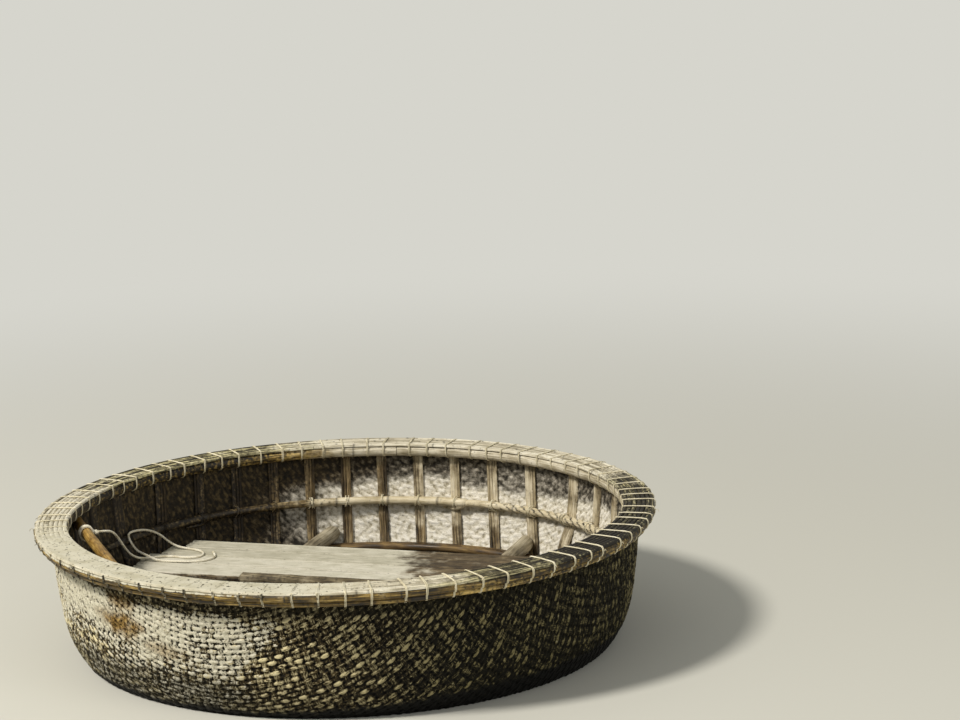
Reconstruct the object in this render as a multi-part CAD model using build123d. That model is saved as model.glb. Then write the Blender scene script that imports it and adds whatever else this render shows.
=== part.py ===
"""A round basket coracle: a woven split-bamboo bowl, stiffened by a lattice of bent slats and
closed by a lashed bamboo rim, with sole boards on two bearers and a painter on a tow beam.

Millimetres. +Z is up, the origin is the middle of the flat bottom, +X is the right of the boat
as seen from its front, and +Y points to its far side. Every piece is its own solid.
"""
import math
import os

from build123d import *

# Overall sizes
RIM_RADIUS = 1000.0       # outside of the rim
HEIGHT = 580.0            # flat bottom to the top of the rim
SEAT = 0.3                # gap between two pieces that rest on each other

# Woven skin: a flat bottom, then three arcs that each take over where the last one stops
SKIN = 9.0                # two layers of split-bamboo weave with their coat of resin
FLOOR_ARC = 1500.0        # radius of the slow rise round the flat bottom
FLOOR_END = 14.3          # degrees of slope where the floor arc ends
BILGE_ARC = 300.0         # radius of the turn of the bilge
BILGE_END = 80.0          # degrees of slope where the bilge arc ends; the wall ends upright

# Rim: hoops outside and inside the skin, covered by flat strips
CAP_THICK = 8.0
CAP_COUNT = 7
CAP_GAP = 0.8
OUTER_UPPER = (53.0, 24.0)    # depth from the skin, height
OUTER_LOWER = (39.0, 17.0)
INNER_HOOP = (32.0, 38.0)
HOOP_ROUND = 0.8              # how far a hoop's round face stands out, as a share of half its height
HOOP_LENGTHS = 6              # lengths of bamboo that make up each hoop, end to end

# Lattice of bent slats inside the skin; both families run from rim to rim
RIB_WIDTH = 34.0
RIB_THICK = 8.0
RIB_PITCH = 128.0
FORE_AFT_EACH_SIDE = 5        # slats along Y on each side of the middle one
ATHWART_EACH_SIDE = 4         # slats along X, laid over the others
LIFT_START = 80.3             # degrees of slope where an upper slat starts to meet the skin
LIFT_END = 82.3

# Hoops tied to the slats
STRINGER_DIAMETER = 30.0
STRINGER_HEIGHT = 374.0       # middle of the pole above the bottom
SHELF_HOOP = (30.0, 26.0)     # depth, height of the hoop under the bearers

# Deck: boards run athwart on two round bearers, a little askew
DECK_TOP = 310.0
DECK_YAW = -20.0              # degrees that the boards are turned about +Z
BOARD_THICK = 22.0
BOARD_EDGE = 3.0              # worn round of the long edges
BEARER_DIAMETER = 56.0
BEARER_OFFSET = 360.0         # each bearer's distance from the middle, along the boards
POLE_DIAMETER = 42.0
POLE_END_ROUND = 14.0
POLE_START = -404.0           # left end, along the boards
POLE_LENGTH = 810.0
POLE_BESIDE = "deck_board_4"  # it lies on the bearers, against the near edge of this board

# Columns: name, far edge and near edge across the boards, gap to the lining at the left and right
BOARDS = [
    ("deck_board_1", 475.0, 387.0, 20.0, 62.0),
    ("deck_board_2", 383.0, 289.0, 22.0, 40.0),
    ("deck_board_3", 285.0, 190.0, 25.0, 84.0),
    ("deck_board_4", 186.0, 68.0, 60.0, 80.0),
    ("deck_board_5", -12.0, -195.0, 62.0, 42.0),
    ("deck_board_6", -199.0, -360.0, 40.0, 55.0),
    ("deck_board_7", -364.0, -545.0, 58.0, 38.0),
]

# Tow beam: a round pole from slat to slat under the inner hoop, at the left end
BEAM_DIAMETER = 36.0
BEAM_FAR_SLAT = 2             # athwart slat that its far end meets, counted from the middle one

# Painter: rope from a hitch on the tow beam
ROPE_DIAMETER = 8.0
HITCH_ALONG = 160.0           # from the beam's far end
HITCH_WIDTH = 26.0            # three turns of the rope side by side
KNOT_DIAMETER = 17.0
KNOT_LENGTH = 13.0

SEAT_PLANE = HEIGHT - CAP_THICK - SEAT      # top of the skin and of the hoops
SKIN_TOP_RADIUS = RIM_RADIUS - OUTER_UPPER[0] - SEAT
RIB_INSET = SKIN + SEAT
CROSS_INSET = RIB_INSET + RIB_THICK + SEAT
LINED_INSET = CROSS_INSET + RIB_THICK + SEAT


def sine(degrees):
    return math.sin(math.radians(degrees))


def cosine(degrees):
    return math.cos(math.radians(degrees))


def hull_arcs():
    """The three arcs of the skin's outside, as (centre radius, centre height, radius, start, end)."""
    wall_arc = BILGE_ARC + (
        SEAT_PLANE - FLOOR_ARC + (FLOOR_ARC - BILGE_ARC) * cosine(FLOOR_END)
    ) / cosine(BILGE_END)
    arcs = []
    centre = (0.0, FLOOR_ARC)
    steps = [(FLOOR_ARC, 0.0, FLOOR_END), (BILGE_ARC, FLOOR_END, BILGE_END), (wall_arc, BILGE_END, 90.0)]
    for index, (radius, start, end) in enumerate(steps):
        if index:
            change = steps[index - 1][0] - radius
            centre = (centre[0] + change * sine(start), centre[1] - change * cosine(start))
        arcs.append((centre[0], centre[1], radius, start, end))
    shift = SKIN_TOP_RADIUS - (arcs[-1][0] + wall_arc)
    return [(r + shift, z, radius, start, end) for r, z, radius, start, end in arcs]


ARCS = hull_arcs()
FLAT_RADIUS = ARCS[0][0]


def on_wall(slope, inset):
    """Point (radius, height) of the hull's section at a slope in degrees, moved inwards by inset."""
    r, z, radius, _, _ = next(a for a in ARCS if slope <= a[4] + 1e-9)
    return (r + (radius - inset) * sine(slope), z - (radius - inset) * cosine(slope))


def wall_radius(height, inset=0.0):
    """Radius of the surface at a height, moved inwards by inset."""
    for r, z, radius, start, end in ARCS:
        share = (z - height) / (radius - inset)
        if cosine(end) - 1e-9 <= share <= cosine(start):
            return r + (radius - inset) * math.sqrt(1 - share * share)
    raise ValueError(f"no wall at height {height}")


def section_edges(inset, first=0.0, last=90.0):
    """Arcs of the hull's section from one slope to another, moved inwards by inset."""
    edges = []
    for _, _, _, start, end in ARCS:
        low, high = max(start, first), min(end, last)
        if high - low > 1e-6:
            # The slopes stay just inside this arc, so that on_wall picks it and not its neighbour.
            points = [on_wall(low + 1e-7, inset), on_wall((low + high) / 2, inset), on_wall(high, inset)]
            if edges:
                points[0] = tuple(edges[-1] @ 1)[0], tuple(edges[-1] @ 1)[1]
            edges.append(ThreePointArc(*points))
    return edges


def point_of(edge, where):
    spot = edge @ where
    return (spot.X, spot.Y)


def bowl_curve(inset, lift=None):
    """Flat bottom and wall as a list of edges. With lift, the wall above LIFT_END has that inset."""
    if lift is None:
        arcs = section_edges(inset)
        return [Line((0.0, inset), point_of(arcs[0], 0))] + arcs
    lower = section_edges(inset, 0.0, LIFT_START)
    upper = section_edges(lift, LIFT_END, 90.0)
    start = Line((0.0, inset), point_of(lower[0], 0))
    ramp = Line(point_of(lower[-1], 1), point_of(upper[0], 0))
    return [start] + lower + [ramp] + upper


def turned(edges):
    """Solid of revolution about Z from a closed outline of (radius, height) edges."""
    face = Plane.XZ * make_face(edges)
    return revolve(face, Axis.Z, 360)


def bowl(outside, inside):
    """Solid shell between two bowl curves that start on the axis and end at the rim."""
    edges = outside + inside
    edges.append(Line(point_of(outside[-1], 1), point_of(inside[-1], 1)))
    edges.append(Line(point_of(outside[0], 0), point_of(inside[0], 0)))
    return turned(edges)


def inside_of_bowl(inset):
    """Everything that the bowl holds, up to the rim, clear of its lining by inset."""
    curve = bowl_curve(inset)
    top = point_of(curve[-1], 1)
    return turned(curve + [Line(top, (0.0, top[1])), Line((0.0, top[1]), (0.0, inset))])


def hoop(face, inner_radius):
    """A section carried round the bowl as lengths of bamboo whose ends meet a seat's gap apart."""
    share = 360 / HOOP_LENGTHS
    length = revolve(Plane.XZ * face, Axis.Z, share - math.degrees(SEAT / inner_radius))
    return Compound(children=[(Rot(0, 0, i * share) * length).solid() for i in range(HOOP_LENGTHS)])


def d_hoop(flat_radius, depth, bottom, top):
    """Hoop of half-round bamboo. depth is measured outwards from flat_radius, or inwards if negative."""
    nose = flat_radius + depth
    shoulder = nose - math.copysign(HOOP_ROUND * (top - bottom) / 2, depth)
    section = make_face([
        Line((flat_radius, bottom), (shoulder, bottom)),
        ThreePointArc((shoulder, bottom), (nose, (bottom + top) / 2), (shoulder, top)),
        Line((shoulder, top), (flat_radius, top)),
        Line((flat_radius, top), (flat_radius, bottom)),
    ])
    return hoop(section, min(flat_radius, nose))


def make_skin():
    return bowl(bowl_curve(0.0), bowl_curve(SKIN))


def make_rim():
    """The rim's hoops, from the seat plane down, and the strips that cover them."""
    outer_flat = SKIN_TOP_RADIUS + SEAT
    upper_bottom = SEAT_PLANE - OUTER_UPPER[1]
    lower_top = upper_bottom - SEAT
    inner_bottom = SEAT_PLANE - INNER_HOOP[1]
    inner_flat = wall_radius(inner_bottom, RIB_INSET + RIB_THICK) - SEAT
    inner_edge = inner_flat - INNER_HOOP[0]
    pitch = (RIM_RADIUS - inner_edge + CAP_GAP) / CAP_COUNT
    strips = []
    for index in range(CAP_COUNT):
        near = inner_edge + index * pitch
        far = near + pitch - CAP_GAP
        low, high = SEAT_PLANE + SEAT, HEIGHT
        corners = [(near, low), (far, low), (far, high), (near, high), (near, low)]
        strips.append(turned([Line(a, b) for a, b in zip(corners, corners[1:])]))
    return {
        "outer_hoop_upper": d_hoop(outer_flat, OUTER_UPPER[0], upper_bottom, SEAT_PLANE),
        "outer_hoop_lower": d_hoop(outer_flat, OUTER_LOWER[0], lower_top - OUTER_LOWER[1], lower_top),
        "inner_hoop": d_hoop(inner_flat, -INNER_HOOP[0], inner_bottom, SEAT_PLANE),
        "rim_cap_strips": Compound(children=[s.solid() for s in strips]),
    }


def make_ribs():
    """Bent slats cut from a bowl-shaped layer by upright slabs, so that each one follows the skin."""
    under = bowl(bowl_curve(RIB_INSET), bowl_curve(RIB_INSET + RIB_THICK))
    over = bowl(
        bowl_curve(CROSS_INSET, RIB_INSET),
        bowl_curve(CROSS_INSET + RIB_THICK, RIB_INSET + RIB_THICK),
    )
    reach = 2.2 * RIM_RADIUS
    ribs = {}
    # Columns: name, layer, slats on each side, slab size along X and along Y, direction of the pitch
    families = [
        ("rib_fore_aft", under, FORE_AFT_EACH_SIDE, (RIB_WIDTH, reach), (1, 0)),
        ("rib_athwart", over, ATHWART_EACH_SIDE, (reach, RIB_WIDTH), (0, 1)),
    ]
    for name, layer, each_side, (size_x, size_y), (step_x, step_y) in families:
        for index in range(-each_side, each_side + 1):
            place = Pos(index * RIB_PITCH * step_x, index * RIB_PITCH * step_y, 0)
            slab = place * Box(size_x, size_y, 3 * HEIGHT)
            ribs[f"{name}_{index + each_side + 1:02d}"] = layer & slab
    return ribs


def make_wall_hoops():
    """Round poles tied round the wall, and a lower half-round hoop that carries the bearers."""
    half = STRINGER_DIAMETER / 2
    lining = wall_radius(STRINGER_HEIGHT, RIB_INSET + RIB_THICK)
    centre = lining - SEAT - half
    pole = hoop(Pos(centre, STRINGER_HEIGHT) * Circle(half), centre - half)
    top = bearer_height() - BEARER_DIAMETER / 2 - SEAT
    depth, height = SHELF_HOOP
    flat = wall_radius(top - height, LINED_INSET)
    return {"stringer_hoop": pole, "shelf_hoop": d_hoop(flat, -depth, top - height, top)}


def bearer_height():
    return DECK_TOP - BOARD_THICK - SEAT - BEARER_DIAMETER / 2


def make_deck():
    """Boards, their two bearers and the loose pole, all turned by the deck's yaw."""
    turn = Rot(0, 0, DECK_YAW)
    room = inside_of_bowl(LINED_INSET)
    pieces = {}
    for name, side in (("bearer_left", -1), ("bearer_right", 1)):
        rod = Cylinder(BEARER_DIAMETER / 2, 2.2 * RIM_RADIUS, rotation=(90, 0, 0))
        rod = turn * Pos(side * BEARER_OFFSET, 0, bearer_height()) * rod
        pieces[name] = rod & room
    reach = wall_radius(DECK_TOP - BOARD_THICK, LINED_INSET)
    for name, far, near, left_gap, right_gap in BOARDS:
        half_chord = math.sqrt(reach**2 - max(far, -near) ** 2)
        left, right = left_gap - half_chord, half_chord - right_gap
        board = Box(right - left, far - near, BOARD_THICK)
        board = fillet(board.edges().filter_by(Axis.X).group_by(Axis.Z)[-1], BOARD_EDGE)
        place = Pos((left + right) / 2, (far + near) / 2, DECK_TOP - BOARD_THICK / 2)
        pieces[name] = turn * place * board
    pole = Cylinder(POLE_DIAMETER / 2, POLE_LENGTH, rotation=(0, 90, 0))
    pole = fillet(pole.edges().filter_by(GeomType.CIRCLE), POLE_END_ROUND)
    edge = next(near for name, _, near, _, _ in BOARDS if name == POLE_BESIDE)
    across = edge - SEAT - POLE_DIAMETER / 2
    middle = Pos(POLE_START + POLE_LENGTH / 2, across, DECK_TOP - BOARD_THICK + POLE_DIAMETER / 2)
    pieces["deck_pole"] = turn * middle * pole
    return pieces


def beam_line():
    """Ends of the tow beam's axis on two slats, low enough for the rope to pass over the beam."""
    height = SEAT_PLANE - INNER_HOOP[1] - 2 * SEAT - ROPE_DIAMETER - BEAM_DIAMETER / 2
    radius = wall_radius(height, RIB_INSET + RIB_THICK)
    far_y = BEAM_FAR_SLAT * RIB_PITCH
    near_x = -FORE_AFT_EACH_SIDE * RIB_PITCH
    far = Vector(-math.sqrt(radius**2 - far_y**2), far_y, height)
    near = Vector(near_x, -math.sqrt(radius**2 - near_x**2), height)
    return far, near


def make_beam():
    far, near = beam_line()
    along = (near - far).normalized()
    reach = 100.0
    start = far - along * reach
    rod = Plane(origin=start, z_dir=along) * Cylinder(
        BEAM_DIAMETER / 2, (near - far).length + 2 * reach, align=(Align.CENTER, Align.CENTER, Align.MIN)
    )
    return rod & inside_of_bowl(RIB_INSET + RIB_THICK + SEAT)


def hitch_frame():
    """Middle of the hitch on the beam, the beam's direction and the way that the rope leaves."""
    far, near = beam_line()
    along = (near - far).normalized()
    return far + along * HITCH_ALONG, along, Vector(-along.Y, along.X, 0)


def painter_route():
    """Points of the rope's middle line: off the knot, down to the boards, over the pole and back."""
    middle, _, inwards = hitch_frame()
    start = middle + inwards * (BEAM_DIAMETER / 2 + SEAT + ROPE_DIAMETER + KNOT_LENGTH + SEAT)
    lying = DECK_TOP + SEAT + ROPE_DIAMETER / 2
    over = lying + 1.6 * ROPE_DIAMETER
    on_pole = STRINGER_HEIGHT + STRINGER_DIAMETER / 2 + 2 * SEAT + ROPE_DIAMETER / 2
    beside = STRINGER_DIAMETER / 2 + ROPE_DIAMETER
    return [
        start,
        start + inwards * 32,
        Vector(-766, 168, 487),
        Vector(-757, 214, 457),
        Vector(-749, 260, 425),
        Vector(-741, 306, 392),
        Vector(-731, 352, 362),
        Vector(-718, 398, 339),
        Vector(-702, 438, 323),
        Vector(-678, 470, lying + 1),
        Vector(-640, 486, lying),
        Vector(-598, 480, lying),
        Vector(-560, 460, lying),
        Vector(-522, 450, lying),
        Vector(-494, 474, lying),
        Vector(-494, 516, lying),
        Vector(-516, 552, lying),
        Vector(-551, 574, lying),
        Vector(-587, 586, lying + 6),
        pole_point(135.9, lying + 22, beside + 17),
        pole_point(137.4, lying + 50, beside + 3),
        pole_point(140.6, on_pole - 3, beside - 4),
        pole_point(143.3, on_pole + 3, 5),
        pole_point(146.2, on_pole + 3, 3),
        pole_point(147.6, on_pole - 14, beside + 3),
        Vector(-721, 461, over + 22),
        Vector(-701, 452, over + 11),
        Vector(-679, 440, over + 4),
        Vector(-650, 428, lying + 3),
        Vector(-612, 420, lying),
        Vector(-572, 408, lying),
        Vector(-531, 398, lying),
        Vector(-490, 404, lying),
        Vector(-460, 430, lying),
        Vector(-450, 470, lying),
        Vector(-462, 510, lying),
    ]


def pole_point(azimuth, height, inwards=0.0):
    """Point by the stringer hoop: azimuth in degrees from +X, inwards from the pole's middle."""
    middle = wall_radius(STRINGER_HEIGHT, RIB_INSET + RIB_THICK) - SEAT - STRINGER_DIAMETER / 2
    radius = middle - inwards
    return Vector(radius * cosine(azimuth), radius * sine(azimuth), height)


def corner_radii(points):
    """For each corner 0.45 of its shorter run, divided by the tangent of half its turn."""
    radii = []
    for before, corner, after in zip(points, points[1:], points[2:]):
        into, out = corner - before, after - corner
        turn = math.radians(into.get_angle(out))
        radii.append(0.45 * min(into.length, out.length) / math.tan(turn / 2))
    return radii


def make_painter():
    """The rope as one tube of straight runs and tangent arcs, and its turns and knot on the beam."""
    points = painter_route()
    radii = corner_radii(points)
    path = FilletPolyline(*points, radius=radii)
    first = (points[1] - points[0]).normalized()
    rope = sweep(Plane(origin=points[0], z_dir=first) * Circle(ROPE_DIAMETER / 2), path=path)
    expected = math.pi * (ROPE_DIAMETER / 2) ** 2 * path.length
    print("painter: runs", [round((b - a).length) for a, b in zip(points, points[1:])])
    print("painter: radii", [round(r) for r in radii])
    print("painter: length", round(path.length), "volume share", round(rope.volume / expected, 4))
    middle, along, inwards = hitch_frame()
    bore = BEAM_DIAMETER / 2 + SEAT
    turns = Plane(origin=middle - along * HITCH_WIDTH / 2, z_dir=along) * Circle(bore + ROPE_DIAMETER)
    knot = Plane(origin=middle + inwards * bore, z_dir=inwards) * Circle(KNOT_DIAMETER / 2)
    bar = Plane(origin=middle - along * HITCH_WIDTH, z_dir=along) * Circle(bore)
    hitch = extrude(turns, HITCH_WIDTH) + extrude(knot, ROPE_DIAMETER + KNOT_LENGTH)
    hitch -= extrude(bar, 2 * HITCH_WIDTH)
    return {"painter_rope": rope, "painter_hitch": hitch}


def main():
    pieces = {"basket_skin": make_skin()}
    pieces.update(make_rim())
    pieces.update(make_ribs())
    pieces.update(make_wall_hoops())
    pieces.update(make_deck())
    pieces["tow_beam"] = make_beam()
    pieces.update(make_painter())
    os.makedirs("parts", exist_ok=True)
    for name, piece in pieces.items():
        export_step(piece, f"parts/{name}.step")
    print(len(pieces), "pieces; flat bottom radius", round(FLAT_RADIUS, 1))


main()
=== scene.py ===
# %% [markdown]
# # A round basket boat of woven bamboo
# The boat is a bowl two metres across, woven from split bamboo, with a lashed rim, bent slats inside
# it and loose boards for a floor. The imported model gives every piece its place. This script covers that
# frame with what the eye meets: single strips, cords, cracks, lime and damp. Lengths are in metres.

# %% Load the frame
import itertools
import math

import bpy
import numpy as np
from mathutils import Matrix, Vector


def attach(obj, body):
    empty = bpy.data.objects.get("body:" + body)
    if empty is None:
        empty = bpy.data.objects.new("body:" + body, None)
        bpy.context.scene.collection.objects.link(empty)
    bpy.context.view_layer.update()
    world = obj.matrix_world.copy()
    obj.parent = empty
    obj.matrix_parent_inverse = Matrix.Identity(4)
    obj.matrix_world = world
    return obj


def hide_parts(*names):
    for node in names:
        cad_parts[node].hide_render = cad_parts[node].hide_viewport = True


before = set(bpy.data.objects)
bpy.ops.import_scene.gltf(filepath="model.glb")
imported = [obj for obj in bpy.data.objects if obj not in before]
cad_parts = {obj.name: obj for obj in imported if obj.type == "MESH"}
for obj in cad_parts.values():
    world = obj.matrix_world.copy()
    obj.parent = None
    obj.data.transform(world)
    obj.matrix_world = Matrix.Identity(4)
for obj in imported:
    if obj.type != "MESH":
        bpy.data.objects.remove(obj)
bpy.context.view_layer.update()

# %% [markdown]
# ## Small helpers
# Colours are written as sRGB hex values, as a picture editor shows them, and Cycles wants them linear.
# A material is a tree of nodes, so one function adds a node with its settings and its links. Handmade
# things are never quite regular: drift() is smooth noise that bends and shifts the pieces, the same in
# each run.


# %% Colour, nodes and noise
def linear(hex_colour):
    """An sRGB hex colour as linear red, green, blue and alpha."""
    channels = [int(hex_colour[i:i + 2], 16) / 255 for i in (1, 3, 5)]
    return [c / 12.92 if c <= 0.04045 else ((c + 0.055) / 1.055) ** 2.4 for c in channels] + [1.0]


def add(tree, kind, inputs=None, stops=None, **settings):
    """One node. inputs holds values, hex colours or other nodes' outputs, by socket name or number."""
    node = tree.nodes.new("ShaderNode" + kind)
    for name, value in settings.items():
        setattr(node, name, value)
    for name, value in (inputs or {}).items():
        if isinstance(value, bpy.types.NodeSocket):
            tree.links.new(value, node.inputs[name])
        else:
            node.inputs[name].default_value = linear(value) if isinstance(value, str) else value
    for index, (place, colour) in enumerate(stops or []):
        ramp = node.color_ramp.elements
        stop = ramp[index] if index < 2 else ramp.new(place)
        stop.position, stop.color = place, linear(colour)
    return node


AXIS_PRIMES, SEED_PRIME = (73856093, 19349663, 83492791), 26544357
MIX_FIRST, MIX_SECOND, LOW_32, LOW_24 = 1274126177, 2246822519, 0xFFFFFFFF, 0xFFFFFF


def cell_value(cells, seed):
    """One number from 0 to 1 for each whole-number cell: large primes times its place, bits mixed."""
    mixed = seed * SEED_PRIME
    for axis, prime in enumerate(AXIS_PRIMES):
        mixed = mixed ^ (cells[..., axis].astype(np.int64) * prime)
    mixed = (mixed & LOW_32) * MIX_FIRST & LOW_32
    mixed = (mixed ^ (mixed >> 15)) * MIX_SECOND & LOW_32
    return ((mixed ^ (mixed >> 13)) & LOW_24) / (LOW_24 + 1)


def drift(points, size, seed):
    """Smooth noise from -1 to 1 over an array of points, with bumps about size metres wide."""
    scaled = np.asarray(points, float) / size
    cell = np.floor(scaled).astype(np.int64)
    part = scaled - cell
    part = part * part * (3 - 2 * part)
    total = np.zeros(scaled.shape[:-1])
    for corner in itertools.product((0, 1), repeat=3):
        weight = np.prod(np.where(corner, part, 1 - part), axis=-1)
        total += weight * cell_value(cell + np.array(corner), seed)
    return 2 * total - 1


def stack(*parts):
    """Coordinates or other columns, plain numbers among them, as one array with a last axis."""
    return np.stack(np.broadcast_arrays(*parts), axis=-1)


def run_along(line):
    """How far each point of a line lies from its start."""
    return np.concatenate([[0], np.cumsum(np.linalg.norm(np.diff(line, axis=0), axis=1))])


def fade(value, start, end):
    """0 at start, 1 at end, smooth between."""
    share = np.clip((value - start) / (end - start), 0, 1)
    return share * share * (3 - 2 * share)


rng = np.random.default_rng(7)
print("middle grey is", round(linear("#808080")[0], 3), "linear")

# %% [markdown]
# ## The camera
# The boat is seen from nine and a half metres away and a little above the rim. The long lens keeps the
# far rim nearly as wide as the near one, and the small roll shows how the boat heels to the left.

# %% Camera
CAMERA_AT, LENS_MM, SENSOR_MM = (0.0535, -9.491, 2.982), 113.1, 36.0
YAW, PITCH, ROLL = math.radians(2.4), math.radians(-11.51), math.radians(-1.97)
camera_data = bpy.data.cameras.new("view")
camera_data.sensor_width, camera_data.lens, camera_data.clip_end = SENSOR_MM, LENS_MM, 200.0
camera = bpy.data.objects.new("view", camera_data)
bpy.context.scene.collection.objects.link(camera)
camera.matrix_world = (
    Matrix.Translation(CAMERA_AT)
    @ Matrix.Rotation(-YAW, 4, "Z")
    @ Matrix.Rotation(math.radians(90) + PITCH, 4, "X")
    @ Matrix.Rotation(ROLL, 4, "Z")
)
bpy.context.scene.camera = camera
print("camera", round(math.degrees(camera_data.angle), 1), "degrees wide")

# %% [markdown]
# ## The bowl's own measure
# Everything lies on one surface of revolution: a flat bottom, a slow floor arc, the tight turn of the
# bilge and a nearly upright wall. A dense table gives, for a length measured along the section from the
# middle of the bottom, the radius, the height and the slope there. An inset then moves the point inwards.

# %% Section of the bowl
SEAT_PLANE, SKIN_TOP = 0.5717, 0.9467
FLOOR_ARC, FLOOR_END, BILGE_ARC, BILGE_END = 1.5, math.radians(14.3), 0.3, math.radians(80)
WALL_ARC = BILGE_ARC + (
    SEAT_PLANE - FLOOR_ARC + (FLOOR_ARC - BILGE_ARC) * math.cos(FLOOR_END)
) / math.cos(BILGE_END)
FLAT = (
    SKIN_TOP - WALL_ARC
    - (FLOOR_ARC - BILGE_ARC) * math.sin(FLOOR_END) - (BILGE_ARC - WALL_ARC) * math.sin(BILGE_END)
)
ARC_STEPS = 400


def make_section():
    """Lengths, radii, heights and slopes along the section, from the middle out."""
    steps = [
        (FLOOR_ARC, 0.0, FLOOR_END), (BILGE_ARC, FLOOR_END, BILGE_END), (WALL_ARC, BILGE_END, math.pi / 2),
    ]
    lengths, radii, heights, slopes = [0.0, FLAT], [0.0, FLAT], [0.0, 0.0], [0.0, 0.0]
    for arc, start, end in steps:
        for slope in np.linspace(start, end, ARC_STEPS)[1:]:
            turn = slope - slopes[-1]
            middle = slope - turn / 2
            lengths.append(lengths[-1] + arc * turn)
            radii.append(radii[-1] + arc * turn * math.cos(middle))
            heights.append(heights[-1] + arc * turn * math.sin(middle))
            slopes.append(slope)
    return [np.array(column) for column in (lengths, radii, heights, slopes)]


LENGTHS, RADII, HEIGHTS, SLOPES = make_section()
SHEET = LENGTHS[-1]


def section(length, inset=0.0):
    """Radius and height on the section, length metres from the middle, moved inwards by inset."""
    slope = np.interp(length, LENGTHS, SLOPES)
    radius = np.interp(length, LENGTHS, RADII) - inset * np.sin(slope)
    return radius, np.interp(length, LENGTHS, HEIGHTS) + inset * np.cos(slope)


def wall_radius(height, inset=0.0):
    """The section's radius at a height above the floor arc."""
    radii, heights = section(LENGTHS, inset)
    return float(np.interp(height, heights[ARC_STEPS:], radii[ARC_STEPS:]))


print("flat bottom", round(FLAT, 4), "sheet radius", round(SHEET, 4))
print("the wall ends at radius", RADII[-1].round(4), "and height", HEIGHTS[-1].round(4))

# %% [markdown]
# ## From grids of points to one mesh
# Strips, poles, boards and cords are all a section carried along a line, so each is a grid: rows along
# the line, columns across it. One function joins many grids into one object. It writes a UV map in metres,
# with the grain along U, and keeps named numbers on the points, such as tone or lime, for the materials.


# %% Piece builder
SHARP_EDGE, END_GRAIN = math.radians(50), 0.3
NOT_NUMBERS = {"points", "u", "v", "ring", "tube", "caps"}


def piece(name, sheets, finish, replaces=()):
    """sheets are dicts of points (rows, columns, 3), u (rows), v (columns) and numbers per point."""
    names = sorted({key for sheet in sheets for key in sheet} - NOT_NUMBERS)
    points, corners, sizes, maps, traits = [], [], [], [], {key: [] for key in names}
    start = 0
    for sheet in sheets:
        grid = sheet["points"]
        rows, columns = grid.shape[:2]
        ring, tube = sheet.get("ring", False), sheet.get("tube", False)
        row, column = np.meshgrid(
            np.arange(rows - (not ring)), np.arange(columns - (not tube)), indexing="ij"
        )
        steps = [(0, 0), (0, 1), (1, 1), (1, 0)]
        quads = stack(*[(row + a) % rows * columns + (column + b) % columns for a, b in steps])
        u, v = np.asarray(sheet["u"], float), np.asarray(sheet["v"], float)
        spots = stack(*[stack(u[row + a], v[column + b]) for a, b in steps]).swapaxes(-1, -2)
        corners.append(quads.reshape(-1) + start)
        maps.append(spots.reshape(-1, 2))
        sizes.append(np.full(quads.shape[0] * quads.shape[1], 4))
        if sheet.get("caps", tube and not ring):
            for end, order in ((0, slice(None, None, -1)), (rows - 1, slice(None))):
                corners.append((np.arange(columns) + end * columns)[order] + start)
                maps.append(stack(u[end] + END_GRAIN * v[:columns], v[:columns])[order])
                sizes.append(np.array([columns]))
        for key in names:
            traits[key].append(np.broadcast_to(sheet.get(key, 0.0), (rows, columns)).reshape(-1))
        points.append(grid.reshape(-1, 3))
        start += rows * columns
    points, corners, sizes, maps = (np.concatenate(x) for x in (points, corners, sizes, maps))
    mesh = bpy.data.meshes.new(name)
    mesh.vertices.add(len(points))
    mesh.vertices.foreach_set("co", points.astype(np.float32).ravel())
    mesh.loops.add(len(corners))
    mesh.loops.foreach_set("vertex_index", corners.astype(np.int32))
    mesh.polygons.add(len(sizes))
    mesh.polygons.foreach_set("loop_start", np.concatenate([[0], np.cumsum(sizes)[:-1]]).astype(np.int32))
    mesh.polygons.foreach_set("loop_total", sizes.astype(np.int32))
    mesh.polygons.foreach_set("use_smooth", np.ones(len(sizes), bool))
    mesh.update(calc_edges=True)
    mesh.uv_layers.new(name="UVMap").data.foreach_set("uv", maps.astype(np.float32).ravel())
    for key in names:
        values = np.concatenate(traits[key]).astype(np.float32)
        mesh.attributes.new(key, "FLOAT", "POINT").data.foreach_set("value", values)
    mesh.set_sharp_from_angle(angle=SHARP_EDGE)
    mesh.materials.append(finish)
    made = bpy.data.objects.new(name, mesh)
    bpy.context.scene.collection.objects.link(made)
    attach(made, "root")
    if replaces:
        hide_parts(*replaces)
    print(f"{name}: {len(points)} points, {int((sizes - 2).sum())} triangles")
    return made


def swept(line, radius, sides, u_start=0.0):
    """A round section carried along a line of points, as one sheet. radius may change along the line."""
    line = np.asarray(line, float)
    ahead = np.gradient(line, axis=0)
    ahead /= np.linalg.norm(ahead, axis=1)[:, None]
    side = np.empty_like(line)
    starts_level = abs(ahead[0, 2]) < 0.9
    side[0] = np.cross(ahead[0], (0.0, 0.0, 1.0) if starts_level else (1.0, 0.0, 0.0))
    for index in range(1, len(line)):
        side[index] = side[index - 1] - ahead[index] * (side[index - 1] @ ahead[index])
    side /= np.linalg.norm(side, axis=1)[:, None]
    lift = np.cross(ahead, side)
    turn = np.linspace(0, 2 * math.pi, sides, endpoint=False)
    radius = np.broadcast_to(radius, len(line))[:, None, None]
    points = line[:, None] + radius * (
        side[:, None] * np.cos(turn)[None, :, None] + lift[:, None] * np.sin(turn)[None, :, None]
    )
    girth = 2 * math.pi * float(np.max(radius))
    return {
        "points": points, "u": u_start + run_along(line), "v": np.linspace(0, girth, sides + 1), "tube": True,
    }


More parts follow.
